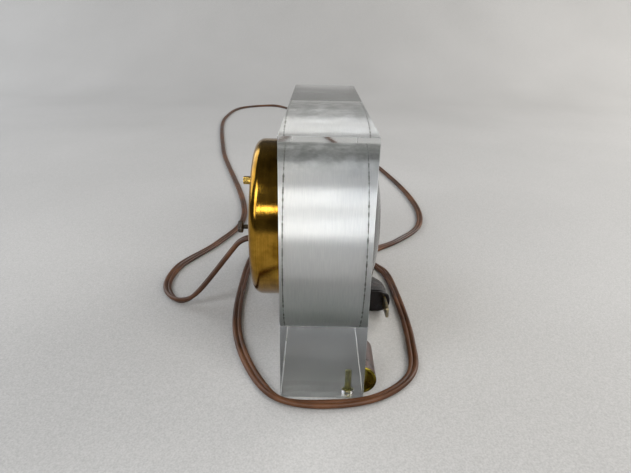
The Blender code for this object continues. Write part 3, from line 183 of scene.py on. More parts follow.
def closed_piece(name, mesh, material, sharp=32):
    """An object of a closed mesh, with doubles merged, faces outwards and rounds shaded smooth."""
    shell = bmesh.new()
    shell.from_mesh(mesh)
    bmesh.ops.remove_doubles(shell, verts=shell.verts, dist=1e-7)
    bmesh.ops.recalc_face_normals(shell, faces=shell.faces)
    shell.to_mesh(mesh)
    shell.free()
    mesh.shade_smooth()
    mesh.set_sharp_from_angle(angle=np.radians(sharp))
    mesh.materials.clear()
    mesh.materials.append(material)
    return put(name, mesh)


def surface(name, grid, material, wrap=(False, True), capped=False, run=None, sharp=32):
    """A piece from a grid of points: each four neighbours are a face, and wrap joins the last row or
    column to the first. Run is a length for each row, kept at its points for the finish."""
    rows, columns = grid.shape[:2]
    index = np.arange(rows * columns).reshape(rows, columns)
    across, down = np.roll(index, -1, 1), np.roll(index, -1, 0)
    quads = np.stack((index, across, np.roll(across, -1, 0), down), -1)
    quads = quads[: rows - (not wrap[0]), : columns - (not wrap[1])]
    faces = quads.reshape(-1, 4).tolist()
    if capped:
        faces += [index[0].tolist(), index[-1].tolist()]
    mesh = bpy.data.meshes.new(name)
    mesh.from_pydata(grid.reshape(-1, 3).tolist(), [], faces)
    if run is not None:
        values = np.repeat(np.asarray(run, np.float32), columns)
        mesh.attributes.new("run", "FLOAT", "POINT").data.foreach_set("value", values)
    return closed_piece(name, mesh, material, sharp)


def unit(vectors):
    """Vectors of the same directions, one long."""
    return vectors / np.linalg.norm(vectors, axis=-1, keepdims=True)


def walk(points):
    """How far each point lies from the first along their line."""
    return np.concatenate(((0,), np.cumsum(np.linalg.norm(np.diff(points, axis=0), axis=1))))


def smooth_curve(points, spacing):
    """A centripetal curve through the points: each span's knots lie as far apart as the square
    root of its length, and three rounds of blending give the point. It is walked in even steps."""
    spans = np.vstack((2 * points[0] - points[1], points, 2 * points[-1] - points[-2]))
    roots = np.sqrt(np.linalg.norm(np.diff(spans, axis=0), axis=1))[:, None, None]
    before, start, end, after = (spans[i : len(spans) - 3 + i, None] for i in range(4))
    first = roots[:-2]
    second = first + roots[1:-1]
    third = second + roots[2:]
    u = first + (second - first) * np.linspace(0, 1, 32, endpoint=False)[None, :, None]

    def blend(low, high, lower, upper):
        return low + (high - low) * (u - lower) / (upper - lower)

    middle = blend(start, end, first, second)
    near = blend(blend(before, start, 0, first), middle, 0, second)
    far = blend(middle, blend(end, after, second, third), first, third)
    fine = np.vstack((blend(near, far, first, second).reshape(-1, 3), points[-1]))
    walked = walk(fine)
    steps = np.linspace(0, walked[-1], int(walked[-1] / spacing) + 1)
    return np.column_stack([np.interp(steps, walked, fine[:, axis]) for axis in range(3)])


def softened(values, width):
    """Each value becomes the mean of its neighbours under a bell of that many samples."""
    bell = np.exp(-np.linspace(-2, 2, 2 * width + 1) ** 2)
    return np.convolve(np.pad(values, width, mode="edge"), bell / bell.sum(), mode="valid")


# The route's heights count from the lowest place of the lead's middle: half its thickness above the
# table where it lies flat, and half the width of a round lead of the same section where it hangs.
lead_points = np.vstack((lead_route, plug_neck))
middle_height = lead_thickness / 2 + lead_floor_gap
hung_height = np.sqrt(lead_width * lead_thickness) / 2 + lead_floor_gap
hung = np.clip(lead_points[:, 2] / lead_hangs_above, 0, 1)
lead_points[:, 2] += middle_height + (hung_height - middle_height) * hung
lead_path = smooth_curve(lead_points[1:-1], lead_step)
lead_path = np.vstack((lead_points[0], lead_path, lead_points[-1]))
along = unit(np.gradient(lead_path, axis=0))
walked = walk(lead_path)
heading = np.unwrap(np.arctan2(along[:, 1], along[:, 0]))
bend = softened(np.gradient(heading, walked), bend_smoothing) / lead_tightest_bend
lying = np.clip((lead_free_above - lead_path[:, 2]) / lead_settles_over, 0, 1)
lean = softened(np.clip(bend, -1, 1) * lying, lean_smoothing) * lead_most_lean
half_height = np.hypot(lead_thickness / 2 * np.cos(lean), lead_width / 2 * np.sin(lean))
lead_path[:, 2] += (half_height - lead_thickness / 2) * lying
lead_path[:, 2] = np.maximum(lead_path[:, 2], half_height + lead_floor_gap)
flat = unit(np.cross(along, (0, 0, 1)))
upward = np.cross(flat, along)
tilt_cos, tilt_sin = np.cos(lean)[:, None], np.sin(lean)[:, None]
sideways = (flat * tilt_cos + upward * tilt_sin)[:, None]
outward = (upward * tilt_cos - flat * tilt_sin)[:, None]

rib = lead_thickness / 2
lobe = np.linspace(-rib_end, rib_end, rib_points)
lobe_across, lobe_up = rib + rib * np.cos(lobe), rib * np.sin(lobe)
section_across = np.array((*lobe_across, 0, *-lobe_across[::-1], 0))
section_up = np.array((*lobe_up, lead_web / 2, *lobe_up[::-1], -lead_web / 2))
section = sideways * section_across[:, None] + outward * section_up[:, None]

# Vinyl: an extruded skin with a soft, rather dull shine. Its mottling is 24 mm across, paler where
# it has rubbed, and its skin's grain is about half a millimetre across.
brown_vinyl, tree, spot = blank_material("extruded_brown_vinyl")
mottle = noise(tree, spot, 42.0, 4.0, 0.6)
tone = ramp(tree, mottle, (0.34, "#341D0E"), (0.52, "#4D2E18"), (0.7, "#674228"))
rise = raised(tree, noise(tree, spot, 2200.0, 3.0), 0.25, 0.00008)
plastic = {"IOR": 1.53, "Specular IOR Level": 0.3}
shade(tree, tone, fitted(tree, mottle, 0.3, 0.7, 0.34, 0.5), rise, plastic)

lead = surface("lead_flex", lead_path[:, None] + section, brown_vinyl, capped=True, run=walked, sharp=50)
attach(lead, "case")
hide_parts("mains_lead")


# Plug. Moulded in dark brown phenolic with a flat flange round its face and a grip that narrows to
# a neck round the lead. It lies on its broad side in front of the block with its two blades to the
# left, and its face is tipped up a little because the neck rests lower than the flange.
plug_half_width, plug_half_height = 0.0099, 0.0068
plug_x, plug_y = -0.0044, -0.0307
plug_length, plug_flange = 0.036, 0.0025
plug_tilt = np.radians(6)
plug_rounding = 2.6
plug_rings, plug_smoothing = 91, 3
plug_flange_places = (0, 0, 0.00012, 0.00045, 0.0009, 0.0018, 0.0022, 0.0024, 0.0025)
plug_flange_wide = (0.84, 0.91, 0.955, 0.99, 1, 1, 0.99, 0.965, 0.935)
plug_flange_high = (0.76, 0.89, 0.945, 0.985, 1, 1, 0.985, 0.955, 0.925)
plug_grip_shares = (0.0, 0.012, 0.18, 0.36, 0.57, 0.73, 0.87, 0.95, 0.985, 1.0)
plug_grip_wide = (0.935, 0.915, 0.93, 0.93, 0.88, 0.74, 0.5, 0.38, 0.33, 0.26)
plug_grip_high = (0.925, 0.9, 0.87, 0.8, 0.68, 0.56, 0.46, 0.41, 0.37, 0.29)
blade_length, blade_height, blade_thickness = 0.0159, 0.00635, 0.0015
blade_spacing = 0.0127
blade_start = -0.0003
blade_nose, blade_ease = 0.0016, 0.0002
blade_hole_radius, blade_hole_from_tip = 0.0016, 0.0056


def phenolic(name, swirls, stops, low, high, gloss=0.5):
    """Moulded phenolic: the wood flour in it gives swirls, so many in a metre, and handling dulls its
    shine in patches. Its roughness runs from low to high."""
    made, tree, spot = blank_material(name)
    swirl = noise(tree, spot, swirls, 5.0, 0.6, 1.2)
    rise = raised(tree, noise(tree, spot, 1500.0), 0.2, 0.0001)
    shine = fitted(tree, swirl, 0.3, 0.7, low, high)
    shade(tree, ramp(tree, swirl, *stops), shine, rise, {"IOR": 1.6, "Specular IOR Level": gloss})
    return made


plug_brown = ((0.36, "#080404"), (0.55, "#100808"), (0.72, "#20100E"))
dark_phenolic = phenolic("moulded_dark_phenolic", 160.0, plug_brown, 0.18, 0.32, 0.22)

# The blades are stamped brass with a dull nickel wash, drawn along their length, and the brass
# shows where sockets have rubbed them.
worn_nickel, tree, spot = blank_material("worn_nickel_on_brass")
lines = noise(tree, stretched(tree, spot, (90, 2600, 2600)), detail=4.0)
wear = noise(tree, spot, 230.0, 5.0, 0.65)
tone = ramp(tree, wear, (0.38, "#8B8474"), (0.55, "#A79A7C"), (0.68, "#B4954F"))
shade(tree, tone, 0.33, raised(tree, lines, 0.3, 0.00003), {"Metallic": 1.0})


def full_turn(steps):
    """Angles in even steps round a full turn, without its end."""
    return np.linspace(0, 2 * np.pi, steps, endpoint=False)


def tipped(x, y, z):
    """Points of the plug's own frame as it lies: x back from the face, y across and z up from its
    lower side. They are turned about the flange's lower back edge, which rests on the table."""
    x = x - plug_flange
    out = plug_x + plug_flange + x * np.cos(plug_tilt) + z * np.sin(plug_tilt)
    up = lead_floor_gap - x * np.sin(plug_tilt) + z * np.cos(plug_tilt)
    return np.stack((out, plug_y + y + 0 * x, up), -1)


def moved_in(outline, inset):
    """An outline's points, each moved inwards along the normal of its neighbours' chord."""
    chord = unit(np.roll(outline, -1, 0) - np.roll(outline, 1, 0))
    return outline + inset * np.column_stack((-chord[:, 1], chord[:, 0]))


def mesh_of(thing):
    """A mesh of a thing's shape with all its modifiers."""
    return bpy.data.meshes.new_from_object(thing.evaluated_get(bpy.context.evaluated_depsgraph_get()))


def cut(piece, cutter):
    """Cuts the cutter's shape out of the piece and removes the cutter."""
    change = piece.modifiers.new("cut", "BOOLEAN")
    change.object = cutter
    change.operation = "DIFFERENCE"
    change.solver = "EXACT"
    left = mesh_of(piece)
    piece.modifiers.clear()
    piece.data = left
    left.shade_smooth()
    left.set_sharp_from_angle(angle=np.radians(32))
    bpy.data.objects.remove(cutter, do_unlink=True)


turn = full_turn(72)
ring = np.array((np.cos(turn), np.sin(turn)))
ring_across, ring_up = np.copysign(np.abs(ring) ** (2 / plug_rounding), ring)
share = np.linspace(0, 1, plug_rings)
grip_wide = softened(np.interp(share, plug_grip_shares, plug_grip_wide), plug_smoothing)
grip_high = softened(np.interp(share, plug_grip_shares, plug_grip_high), plug_smoothing)
plug_along = np.concatenate((plug_flange_places, plug_flange + (plug_length - plug_flange) * share[1:]))
plug_w = plug_half_width * np.concatenate((plug_flange_wide, grip_wide[1:]))[:, None]
plug_h = plug_half_height * np.concatenate((plug_flange_high, grip_high[1:]))[:, None]
grid = tipped(plug_along[:, None] + 0 * turn, plug_w * ring_across, plug_half_height + plug_h * ring_up)
plug = surface("plug_moulding", grid, dark_phenolic, capped=True, sharp=40)
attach(plug, "case")
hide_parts("plug_body")

tip = blade_start - blade_length
low, high = plug_half_height - blade_height / 2, plug_half_height + blade_height / 2
quarter = np.linspace(np.pi / 2, 0, 9)
nose_x, nose_z = tip + blade_nose * (1 - np.cos(quarter)), blade_nose * (1 - np.sin(quarter))
upper_nose, lower_nose = zip(nose_x, high - nose_z), zip(nose_x[::-1], low + nose_z[::-1])
shape = np.array([(blade_start, low), (blade_start, high), *upper_nose, *lower_nose])
turn = full_turn(40)
hole_x = tip + blade_hole_from_tip + blade_hole_radius * np.cos(turn)
hole_z = plug_half_height + blade_hole_radius * np.sin(turn)
for name, side in (("front", -1), ("back", 1)):
    middle, half = side * blade_spacing / 2, blade_thickness / 2
    rows = []
    for y, inset in zip((-half, blade_ease - half, half - blade_ease, half), (blade_ease, 0, 0, blade_ease)):
        ring = moved_in(shape, inset)
        rows.append(tipped(ring[:, 0], middle + y, ring[:, 1]))
    blade = surface(f"blade_{name}", np.array(rows), worn_nickel, capped=True, sharp=28)
    sides = (middle - blade_thickness, middle + blade_thickness)
    grid = np.array([tipped(hole_x, y, hole_z) for y in sides])
    cut(blade, surface(f"pierce_{name}", grid, worn_nickel, capped=True))
    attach(blade, "case")
    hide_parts(f"plug_blade_{name}")

tuple(lead_path[0])


# Block. One thick piece of cast clear acrylic, sawn, polished and bored right through for the
# movement. Its edges are eased by hand, and it stands on its long narrow face.
bore_middle, bore_radius = 0.0584, 0.047625
bore_centre = (0, 0, bore_middle)
block_half_width, block_height = 0.079375, 0.12065
block_front, block_back = -0.01905, 0.01905
block_chamfer, bore_chamfer = 0.0002, 0.00006
screw_places = ((-0.071775, -0.01205), (0.071775, -0.01205))
screw_hole_radius, screw_hole_top = 0.0015, 0.0123
screw_seat_radius, screw_seat_top = 0.0029, 0.0017
drill_start, drill_point = -0.001, 0.0009
wall_margin = 0.0001


def acrylic(name, low, high, scratch_depth):
    """Clear acrylic with a wiped surface: its scratches are a few millimetres long and a fifth of
    one wide, and its roughness drifts from low to high in patches 30 mm across."""
    made, tree, spot = blank_material(name)
    scratch = noise(tree, stretched(tree, spot, (60, 900, 1400), (0.3, 0.5, 0.9)), detail=3.0)
    dull = fitted(tree, noise(tree, spot, 35.0, 4.0), 0.4, 0.75, low, high)
    rise = raised(tree, scratch, scratch_depth, 0.00002)
    tint = add(tree, "VolumeAbsorption", {"Color": linear("#D6E1DA"), "Density": 1.2})
    clear = {"IOR": 1.49, "Transmission Weight": 1.0}
    shade(tree, linear("#FFFFFF"), dull, rise, clear, tint.outputs["Volume"])
    return made


# The outside is polished, so the far edges and the screws show crisply through it. The underside
# and the screw heads' seats were only machined: their satin surface blurs what shines through.
polished = acrylic("polished_cast_acrylic", 0.016, 0.03, 0.1)
machined = acrylic("machined_satin_acrylic", 0.3, 0.42, 0.6)


def count(tree, operation, *values):
    """One step of arithmetic on levels and numbers."""
    return add(tree, "Math", dict(enumerate(values)), operation=operation).outputs["Value"]


def mixed(tree, share, colour, other):
    """A colour with a share of another one laid over it."""
    sockets = {"Factor": share, 6: colour, 7: linear(other)}
    return add(tree, "Mix", sockets, data_type="RGBA").outputs[2]


# The liner sits tight in the bore, so the bore's wall shows its satin turned aluminium. The lathe's
# marks run round the bore, each a few hundredths of a millimetre wide, with slow changes of tone
# along them. They spread a light along the bore and hardly across.
satin_aluminium, tree, spot = blank_material("satin_turned_aluminium")
apart = add(tree, "SeparateXYZ", {"Vector": spot}).outputs
marks = noise(tree, stretched(tree, spot, (18, 5200, 18)), detail=4.0, roughness=0.7)
bands = noise(tree, stretched(tree, spot, (30, 420, 30)), detail=5.0)
both = count(tree, "MULTIPLY", count(tree, "ADD", marks, bands), 0.5)
tone = ramp(tree, both, (0.3, "#E4E5E6"), (0.5, "#EFF0F0"), (0.7, "#F9F9F8"))
# Sealant has crept under both edges and left a ragged dark line.
reach = count(tree, "ABSOLUTE", apart["Y"])
edge = count(tree, "MULTIPLY_ADD", noise(tree, spot, 420.0, 5.0), 0.0012, reach)
coat = mixed(tree, fitted(tree, edge, 0.01935, 0.0195, 0.0, 0.85), tone, "#535A4C")
# Towards the top of the bore the metal is painted a darker, cloudy grey: painted shade near the bore's upper
# edge.
cloud = fitted(tree, noise(tree, spot, 150.0, 6.0, 0.6), 0.38, 0.62, 0.35, 0.95)
top_painted_shade = count(tree, "MULTIPLY", fitted(tree, apart["Z"], 0.095, 0.104, 0.0, 1.0), cloud)
coat = mixed(tree, top_painted_shade, coat, "#A3A7A4")
gleam = fitted(tree, bands, 0.3, 0.7, 0.49, 0.56)
lathe_way = add(tree, "CombineXYZ", {"Y": 1.0}).outputs["Vector"]
metal = {"Metallic": 0.9, "Anisotropic": 0.92, "Tangent": lathe_way}
shade(tree, coat, gleam, raised(tree, marks, 0.35, 0.00003), metal)

# The screws' threads bite tightly into the acrylic, so the walls of their holes carry brass-coloured flecks
# a few tenths of a millimetre apart: the pale flecks are painted glints of the threads, and the dark gaps
# between them are painted shade.
thread_wall_glints, tree, spot = blank_material("brass_thread_with_painted_glints")
glint_flecks = noise(tree, stretched(tree, spot, (500, 500, 1100)))
tone = ramp(tree, glint_flecks, (0.42, "#14180C"), (0.52, "#5E5F28"), (0.62, "#CCC684"))
shade(tree, tone, 0.4, more={"Metallic": 0.8})


def around(radii, places, centre, angles, axis="Y"):
    """A grid of points round an axis through centre: a row for each place along the axis, with one
    radius or a radius for every angle."""
    along = np.asarray(places, float)[:, None] + 0 * angles
    side, across = radii * np.cos(angles), radii * np.sin(angles)
    order = (side, along, across) if axis == "Y" else (side, across, along)
    return np.asarray(centre, float) + np.stack(order, -1)


def turned(name, profile, material, centre, axis="Y", steps=128, ring=False, sharp=32):
    """A piece turned about an axis through centre, from a profile of radii and places along it."""
    profile = np.asarray(profile, float)
    grid = around(profile[:, :1], profile[:, 1], centre, full_turn(steps), axis)
    return surface(name, grid, material, wrap=(ring, True), run=walk(profile), sharp=sharp)


def disc(radius, front, back, hole=0):
    """The outline of a disc or a washer, as radii and places along the axis."""
    return (hole, front), (radius, front), (radius, back), (hole, back)


def eased(points, ease, ring=False, steps=4):
    """An outline's points with each corner turned into a parabola, which starts and ends at the
    distance ease from the corner, or at half the shorter side."""
    points = np.asarray(points, float)
    out = []
    for number, corner in enumerate(points):
        before, after = points[number - 1], points[(number + 1) % len(points)]
        if not ring and number in (0, len(points) - 1):
            out.append(corner)
            continue
        lengths = np.linalg.norm(before - corner), np.linalg.norm(after - corner)
        taken = min(ease, 0.5 * min(lengths))
        start = corner + (before - corner) * taken / lengths[0]
        end = corner + (after - corner) * taken / lengths[1]
        for t in np.linspace(0, 1, steps + 1):
            out.append((1 - t) ** 2 * start + 2 * t * (1 - t) * corner + t**2 * end)
    return out


# The block's outline is told from the bore's middle: the angle that each of its four sides and
# four eased corners faces, and how far off it lies.
block_over = block_height - bore_middle
sides = np.array((block_half_width, block_over, block_half_width, bore_middle))
corners = (sides + np.roll(sides, -1) - block_chamfer) / np.sqrt(2)
distance = np.column_stack((sides, corners)).ravel()
facing = np.radians(np.arange(8) * 45)


def outline_reach(angles, inset):
    """How far the block's outline, moved in by inset, lies from the bore's middle at each angle. A
    side that faces away is never reached."""
    least, never = 1e-6, 9.0
    towards = np.cos(angles[:, None] - facing[None])
    reach = np.where(towards > least, (distance - inset) / np.maximum(towards, least), never)
    return reach.min(axis=1)


corner_angles = [
    np.arctan2(up - np.sign(up) * less_up, across - np.sign(across) * less_across) % (2 * np.pi)
    for across in (block_half_width, -block_half_width)
    for up in (block_over, -bore_middle)
    for less_across, less_up in ((block_chamfer, 0), (0, block_chamfer))
]
angles = np.unique((*full_turn(288), *corner_angles))
hole = np.full(len(angles), bore_radius)
rows = [
    (hole, block_front + bore_chamfer),
    (hole + bore_chamfer, block_front),
    (outline_reach(angles, block_chamfer), block_front),
    (outline_reach(angles, 0), block_front + block_chamfer),
]
rows += [(reach, -y) for reach, y in rows[::-1]]
radii, places = zip(*rows)
grid = around(np.array(radii), places, bore_centre, angles)
block = surface("clear_block", grid, polished, wrap=(True, True), sharp=20)
pilot = (
    (0, drill_start), (screw_seat_radius, drill_start),
    (screw_seat_radius, screw_seat_top), (screw_hole_radius, screw_seat_top),
    (screw_hole_radius, screw_hole_top), (0, screw_hole_top + drill_point),
)
for number, (x, y) in enumerate(screw_places):
    cut(block, turned(f"drill_{number}", pilot, polished, (x, y, 0), "Z", steps=48))
for material in (machined, satin_aluminium, thread_wall_glints):
    block.data.materials.append(material)
for face in block.data.polygons:
    x, y, z = face.center
    in_hole = z < screw_hole_top + screw_hole_radius and any(
        np.hypot(x - hole_x, y - hole_y) < screw_seat_radius + wall_margin for hole_x, hole_y in screw_places
    )
    if np.hypot(x, z - bore_middle) < bore_radius + bore_chamfer:
        face.material_index = 2
    elif in_hole and z > screw_seat_top:
        face.material_index = 3
    elif in_hole or face.normal.z < -0.9:
        face.material_index = 1
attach(block, "case")
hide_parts("acrylic_block")


# Sleeve. A turned aluminium liner is pressed into the bore and hides the movement from the side.
# The movement seats on a shoulder inside it.
sleeve_radius, sleeve_front_bore, sleeve_rear_bore = 0.047325, 0.046325, 0.045025
sleeve_shoulder = -0.0123
sleeve_ease = 0.00025

outline = (
    (sleeve_radius, block_front), (sleeve_radius, block_back),
    (sleeve_rear_bore, block_back), (sleeve_rear_bore, sleeve_shoulder),
    (sleeve_front_bore, sleeve_shoulder), (sleeve_front_bore, block_front),
)
profile = eased(outline, sleeve_ease, ring=True)
sleeve = turned("bore_liner", profile, satin_aluminium, bore_centre, steps=256, ring=True)
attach(sleeve, "case")
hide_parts("bore_sleeve")


# Can. A shallow spun brass cup screwed to the block's back over the motor. Its lacquer has gone
# brown where it is thin, and the spinner's lines run round it.
can_radius, can_flange_radius = 0.042898, 0.049425
can_wall, can_edge = 0.0008, 0.005
can_front, can_flange_back, can_back = 0.01935, 0.02015, 0.03705
flange_ease = 0.0003
stud_circle = 0.035198
stud_angles = np.radians((128.7, 8.7, 300.0))
stud_places = [(stud_circle * np.cos(a), bore_middle + stud_circle * np.sin(a)) for a in stud_angles]
bushing_place = (0.002, 0.044)
setting_place = (-0.016, bore_middle)
stud_hole, bushing_hole, setting_hole = 0.00165, 0.00405, 0.00155
punch_front, punch_back = 0.034, 0.04


def brass(name, tones, roughness, marks_along, patina):
    """Brass turned or spun round the Y axis. Tones are the dark, middle and light of its lacquer,
    marks_along is how many lines there are in a metre, and patina is how far the browning goes."""
    made, tree, spot = blank_material(name)
    apart = add(tree, "SeparateXYZ", {"Vector": spot}).outputs
    run = add(tree, "Attribute", attribute_name="run").outputs["Fac"]
    slow = 9.0
    pairs = {"X": (run, marks_along), "Y": (apart["X"], slow), "Z": (apart["Z"], slow)}
    sockets = {axis: count(tree, "MULTIPLY", *pair) for axis, pair in pairs.items()}
    marks = noise(tree, add(tree, "CombineXYZ", sockets).outputs["Vector"], 1.0, 5.0)
    cloud = noise(tree, spot, 70.0, 6.0, 0.62)
    both = count(tree, "MULTIPLY_ADD", cloud, patina, marks)
    tone = ramp(tree, count(tree, "MULTIPLY", both, 1 / (1 + patina)), *zip((0.36, 0.5, 0.64), tones))
    gleam = fitted(tree, cloud, 0.3, 0.7, roughness * 0.8, roughness * 1.35)
    shade(tree, tone, gleam, raised(tree, marks, 0.3, 0.00004), {"Metallic": 1.0})
    return made


lacquered = ("#5E4212", "#9B7429", "#C1983E")
aged_brass = brass("spun_brass_under_brown_lacquer", lacquered, 0.13, 9000, 1.6)
plain_brass = brass("turned_plain_brass", ("#9A7B34", "#C7A552", "#E3C777"), 0.22, 6000, 0.5)


def can_arc(radius, start, end):
    """The can's rounded rear edge at a radius of its own, between two angles."""
    bend = np.linspace(start, end, 17)
    middle, place = can_radius - can_edge, can_back - can_edge
    return [(middle + radius * np.cos(a), place + radius * np.sin(a)) for a in bend]


outer_arc = can_arc(can_edge, 0, np.pi / 2)
inner_arc = can_arc(can_edge - can_wall, np.pi / 2, 0)
rings_out = np.linspace(can_radius - can_edge, 0, 12)
profile = [
    (can_radius - can_wall, can_front), (can_flange_radius - flange_ease, can_front),
    (can_flange_radius, can_front + flange_ease), (can_flange_radius, can_flange_back - flange_ease),
    (can_flange_radius - flange_ease, can_flange_back), (can_radius + 2 * flange_ease, can_flange_back),
    (can_radius, can_flange_back + 2 * flange_ease),
    *outer_arc,
    *[(r, can_back) for r in rings_out[1:]],
    *[(r, can_back - can_wall) for r in rings_out[::-1]],
    *inner_arc[1:],
    (can_radius - can_wall, can_front),
]
can = turned("motor_can", profile, aged_brass, bore_centre, steps=192)
holes = [(place, stud_hole) for place in stud_places]
holes += [(bushing_place, bushing_hole), (setting_place, setting_hole)]
for number, ((x, z), radius) in enumerate(holes):
    pin = disc(radius, punch_front, punch_back)
    cut(can, turned(f"punch_{number}", pin, aged_brass, (x, 0, z), steps=48))
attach(can, "case")
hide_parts("rear_can")


# Studs and nuts. Three brass studs reach from the back plate through the can, and small hexagon
# nuts pull it tight. The stud ends have a fine thread.
stud_radius = 0.0013
stud_lengths = (0.0075, 0.03535, 0.04045)
stud_pitch, stud_thread_depth = 0.00045, 0.00018
nut_radius, nut_front, nut_back = 0.0021, 0.03735, 0.04055
nut_thread_gap = 0.00003
nut_end_share, nut_cone_slope = 0.93, 1.2


def threaded(name, radius, front, bare, back, pitch, depth, centre, axis):
    """A brass rod with a helical thread past bare: a triangle of the place along the axis less the
    turned share of the pitch, which fades out over the last turn."""
    angles = full_turn(32)
    along = np.arange(bare, back, pitch / 8)
    phase = along[:, None] / pitch - angles[None] / (2 * np.pi)
    groove = np.abs(phase % 1 - 0.5) * 2
    fade = np.clip(np.minimum(along - bare, back - along) / pitch, 0, 1)[:, None]
    ends = np.array((0, radius, radius - depth, 0))[:, None] + 0 * angles
    radii = np.vstack((ends[:2], radius - depth * groove * fade, ends[2:]))
    places = np.array((front, front + 0.0001, *along, back, back))
    grid = around(radii, places, centre, angles, axis)
    return surface(name, grid, plain_brass, run=np.abs(places - places[0]), sharp=50)


# A hexagon's reach at an angle is its flat's distance over the cosine from that flat's middle, and
# a chamfer holds it inside a cone at both ends.
turn = full_turn(96)
hexagon = nut_radius * np.cos(np.pi / 6) / np.cos(turn % (np.pi / 3) - np.pi / 6)
nut_bore = np.full(96, stud_radius + nut_thread_gap)
nut_length = nut_back - nut_front
rows = [(nut_bore, nut_front), (nut_bore, nut_back)]
for share in np.linspace(0, 1, 9):
    cone = nut_radius * nut_end_share + nut_cone_slope * min(share, 1 - share) * nut_length
    rows.append((np.minimum(hexagon, cone), nut_back - share * nut_length))
nut_radii, nut_rows = (np.array(column) for column in zip(*rows))
for number, (x, z) in enumerate(stud_places, 1):
    centre = (x, 0, z)
    stud = threaded(f"stud_{number}", stud_radius, *stud_lengths, stud_pitch, stud_thread_depth, centre, "Y")
    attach(stud, "case")
    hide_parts(f"can_stud_{number}")
    grid = around(nut_radii, nut_rows, centre, turn)
    run = np.abs(nut_rows - nut_front)
    nut = surface(f"nut_{number}", grid, plain_brass, wrap=(True, True), run=run, sharp=25)
    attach(nut, "case")
    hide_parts(f"can_nut_{number}")


# Setting knob. A small knurled knob of brown phenolic on the setting shaft's end, gripped from
# behind to turn the hands.
knob_radius = 0.0032
knob_front, knob_back = 0.04265, 0.04525
knob_ease = 0.0006
knob_teeth, knob_tooth_depth = 22, 0.00022

knob_stops = ((0.36, "#241A0E"), (0.53, "#362917"), (0.7, "#4C3B22"))
knob_brown = phenolic("handled_brown_phenolic", 190.0, knob_stops, 0.26, 0.44)
turn = full_turn(knob_teeth * 8)
knurl = knob_tooth_depth * (0.5 - 0.5 * np.cos(knob_teeth * turn))
outline = disc(knob_radius, knob_front, knob_back)
radii, places = np.array(eased(outline, knob_ease, steps=6)).T[..., None]
rims = radii - knurl * np.clip((radii - knob_radius + knob_ease) / knob_ease, 0, 1)
grid = around(rims, places[:, 0], (setting_place[0], 0, setting_place[1]), turn)
knob = surface("knurled_knob", grid, knob_brown, sharp=50)
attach(knob, "setting_train")
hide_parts("setting_knob")


# Bushing. A black rubber grommet carries the lead through the can's back: its two flanges grip the
# sheet, and the lead comes out of its nose.
bushing_neck, bushing_flange, bushing_nose = 0.0037, 0.0052, 0.004
bushing_front, bushing_back = 0.03445, 0.03945
bushing_wall_front, bushing_wall_back = 0.03595, 0.03735
bushing_collar = 0.0015
bushing_ease = 0.0004

# Old rubber has a grey bloom in patches 4 mm across.
rubber, tree, spot = blank_material("dusty_black_rubber")
bloom = noise(tree, spot, 260.0, 5.0)
tone = ramp(tree, bloom, (0.35, "#1B1816"), (0.55, "#25211E"), (0.75, "#3A342F"))
shade(tree, tone, 0.62, raised(tree, bloom, 0.2, 0.00006))

outline = (
    (0, bushing_front), (bushing_flange, bushing_front),
    (bushing_flange, bushing_wall_front), (bushing_neck, bushing_wall_front),
    (bushing_neck, bushing_wall_back), (bushing_flange, bushing_wall_back),
    (bushing_flange, bushing_wall_back + bushing_collar), (bushing_nose, bushing_back),
    (0, bushing_back),
)
profile = eased(outline, bushing_ease)
grommet = turned("lead_grommet", profile, rubber, (bushing_place[0], 0, bushing_place[1]), steps=64)
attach(grommet, "case")
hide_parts("lead_bushing")


# Feet. Two half round bars of brown phenolic lie along the front's lower corners and keep the
# block from tipping forward, each with a brass cap pressed on its outer end.
foot_radius, foot_proud = 0.0073, 0.0057
foot_back = -0.01935
foot_middle = foot_back + foot_radius - foot_proud
foot_ease = 0.0003
foot_span, cap_span = (0.051675, 0.074675), (0.074975, 0.075975)
cap_rim, cap_recess = 0.0012, 0.0005
cap_inner_ease, cap_outer_ease, cap_rim_ease = 0.00015, 0.00025, 0.0002


def foot_ring(inset):
    """The foot's outline, moved in by inset: an arc from the block's face round to it again, and
    the flat along the face, as places in Y and Z."""
    radius = foot_radius - inset
    half = np.arccos((foot_radius - foot_proud + inset) / radius)
    bend = np.linspace(half, -half, 49)
    arc = np.column_stack((foot_middle - radius * np.cos(bend), foot_radius + radius * np.sin(bend)))
    return np.vstack((arc, np.linspace(arc[-1], arc[0], 9)[1:-1]))


def bar(name, sections, material):
    """A bar along X. Each section is a place along X and how far the foot's outline is moved in."""
    rings = [(x, foot_ring(inset)) for x, inset in sections]
    grid = np.array([np.column_stack((np.full(len(ring), x), ring)) for x, ring in rings])
    return surface(name, grid, material, capped=True, run=walk(np.array(sections)))


cap_brass = brass("olive_tarnished_brass", ("#4E4717", "#6F6421", "#8C7F34"), 0.24, 9000, 1.0)
foot_stops = ((0.36, "#281914"), (0.53, "#3C2823"), (0.7, "#533C34"))
foot_brown = phenolic("mauve_brown_phenolic", 190.0, foot_stops, 0.22, 0.4)
for name, way in (("near", -1), ("far", 1)):
    start, end = sorted(way * x for x in foot_span)
    cap_in, cap_out = (way * x for x in cap_span)
    sections = ((start, foot_ease), (start + foot_ease, 0), (end - foot_ease, 0), (end, foot_ease))
    foot = bar(f"foot_bar_{name}", sections, foot_brown)
    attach(foot, "case")
    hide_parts(f"foot_{name}")
    sections = (
        (cap_in, cap_inner_ease),
        (cap_in + way * cap_inner_ease, 0),
        (cap_out - way * cap_outer_ease, 0),
        (cap_out, cap_outer_ease),
        (cap_out, cap_rim - cap_rim_ease),
        (cap_out - way * cap_recess * 0.8, cap_rim),
        (cap_out - way * cap_recess, cap_rim + cap_rim_ease),
    )
    cap = bar(f"foot_end_{name}", sections, cap_brass)
    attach(cap, "case")
    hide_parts(f"foot_cap_{name}")


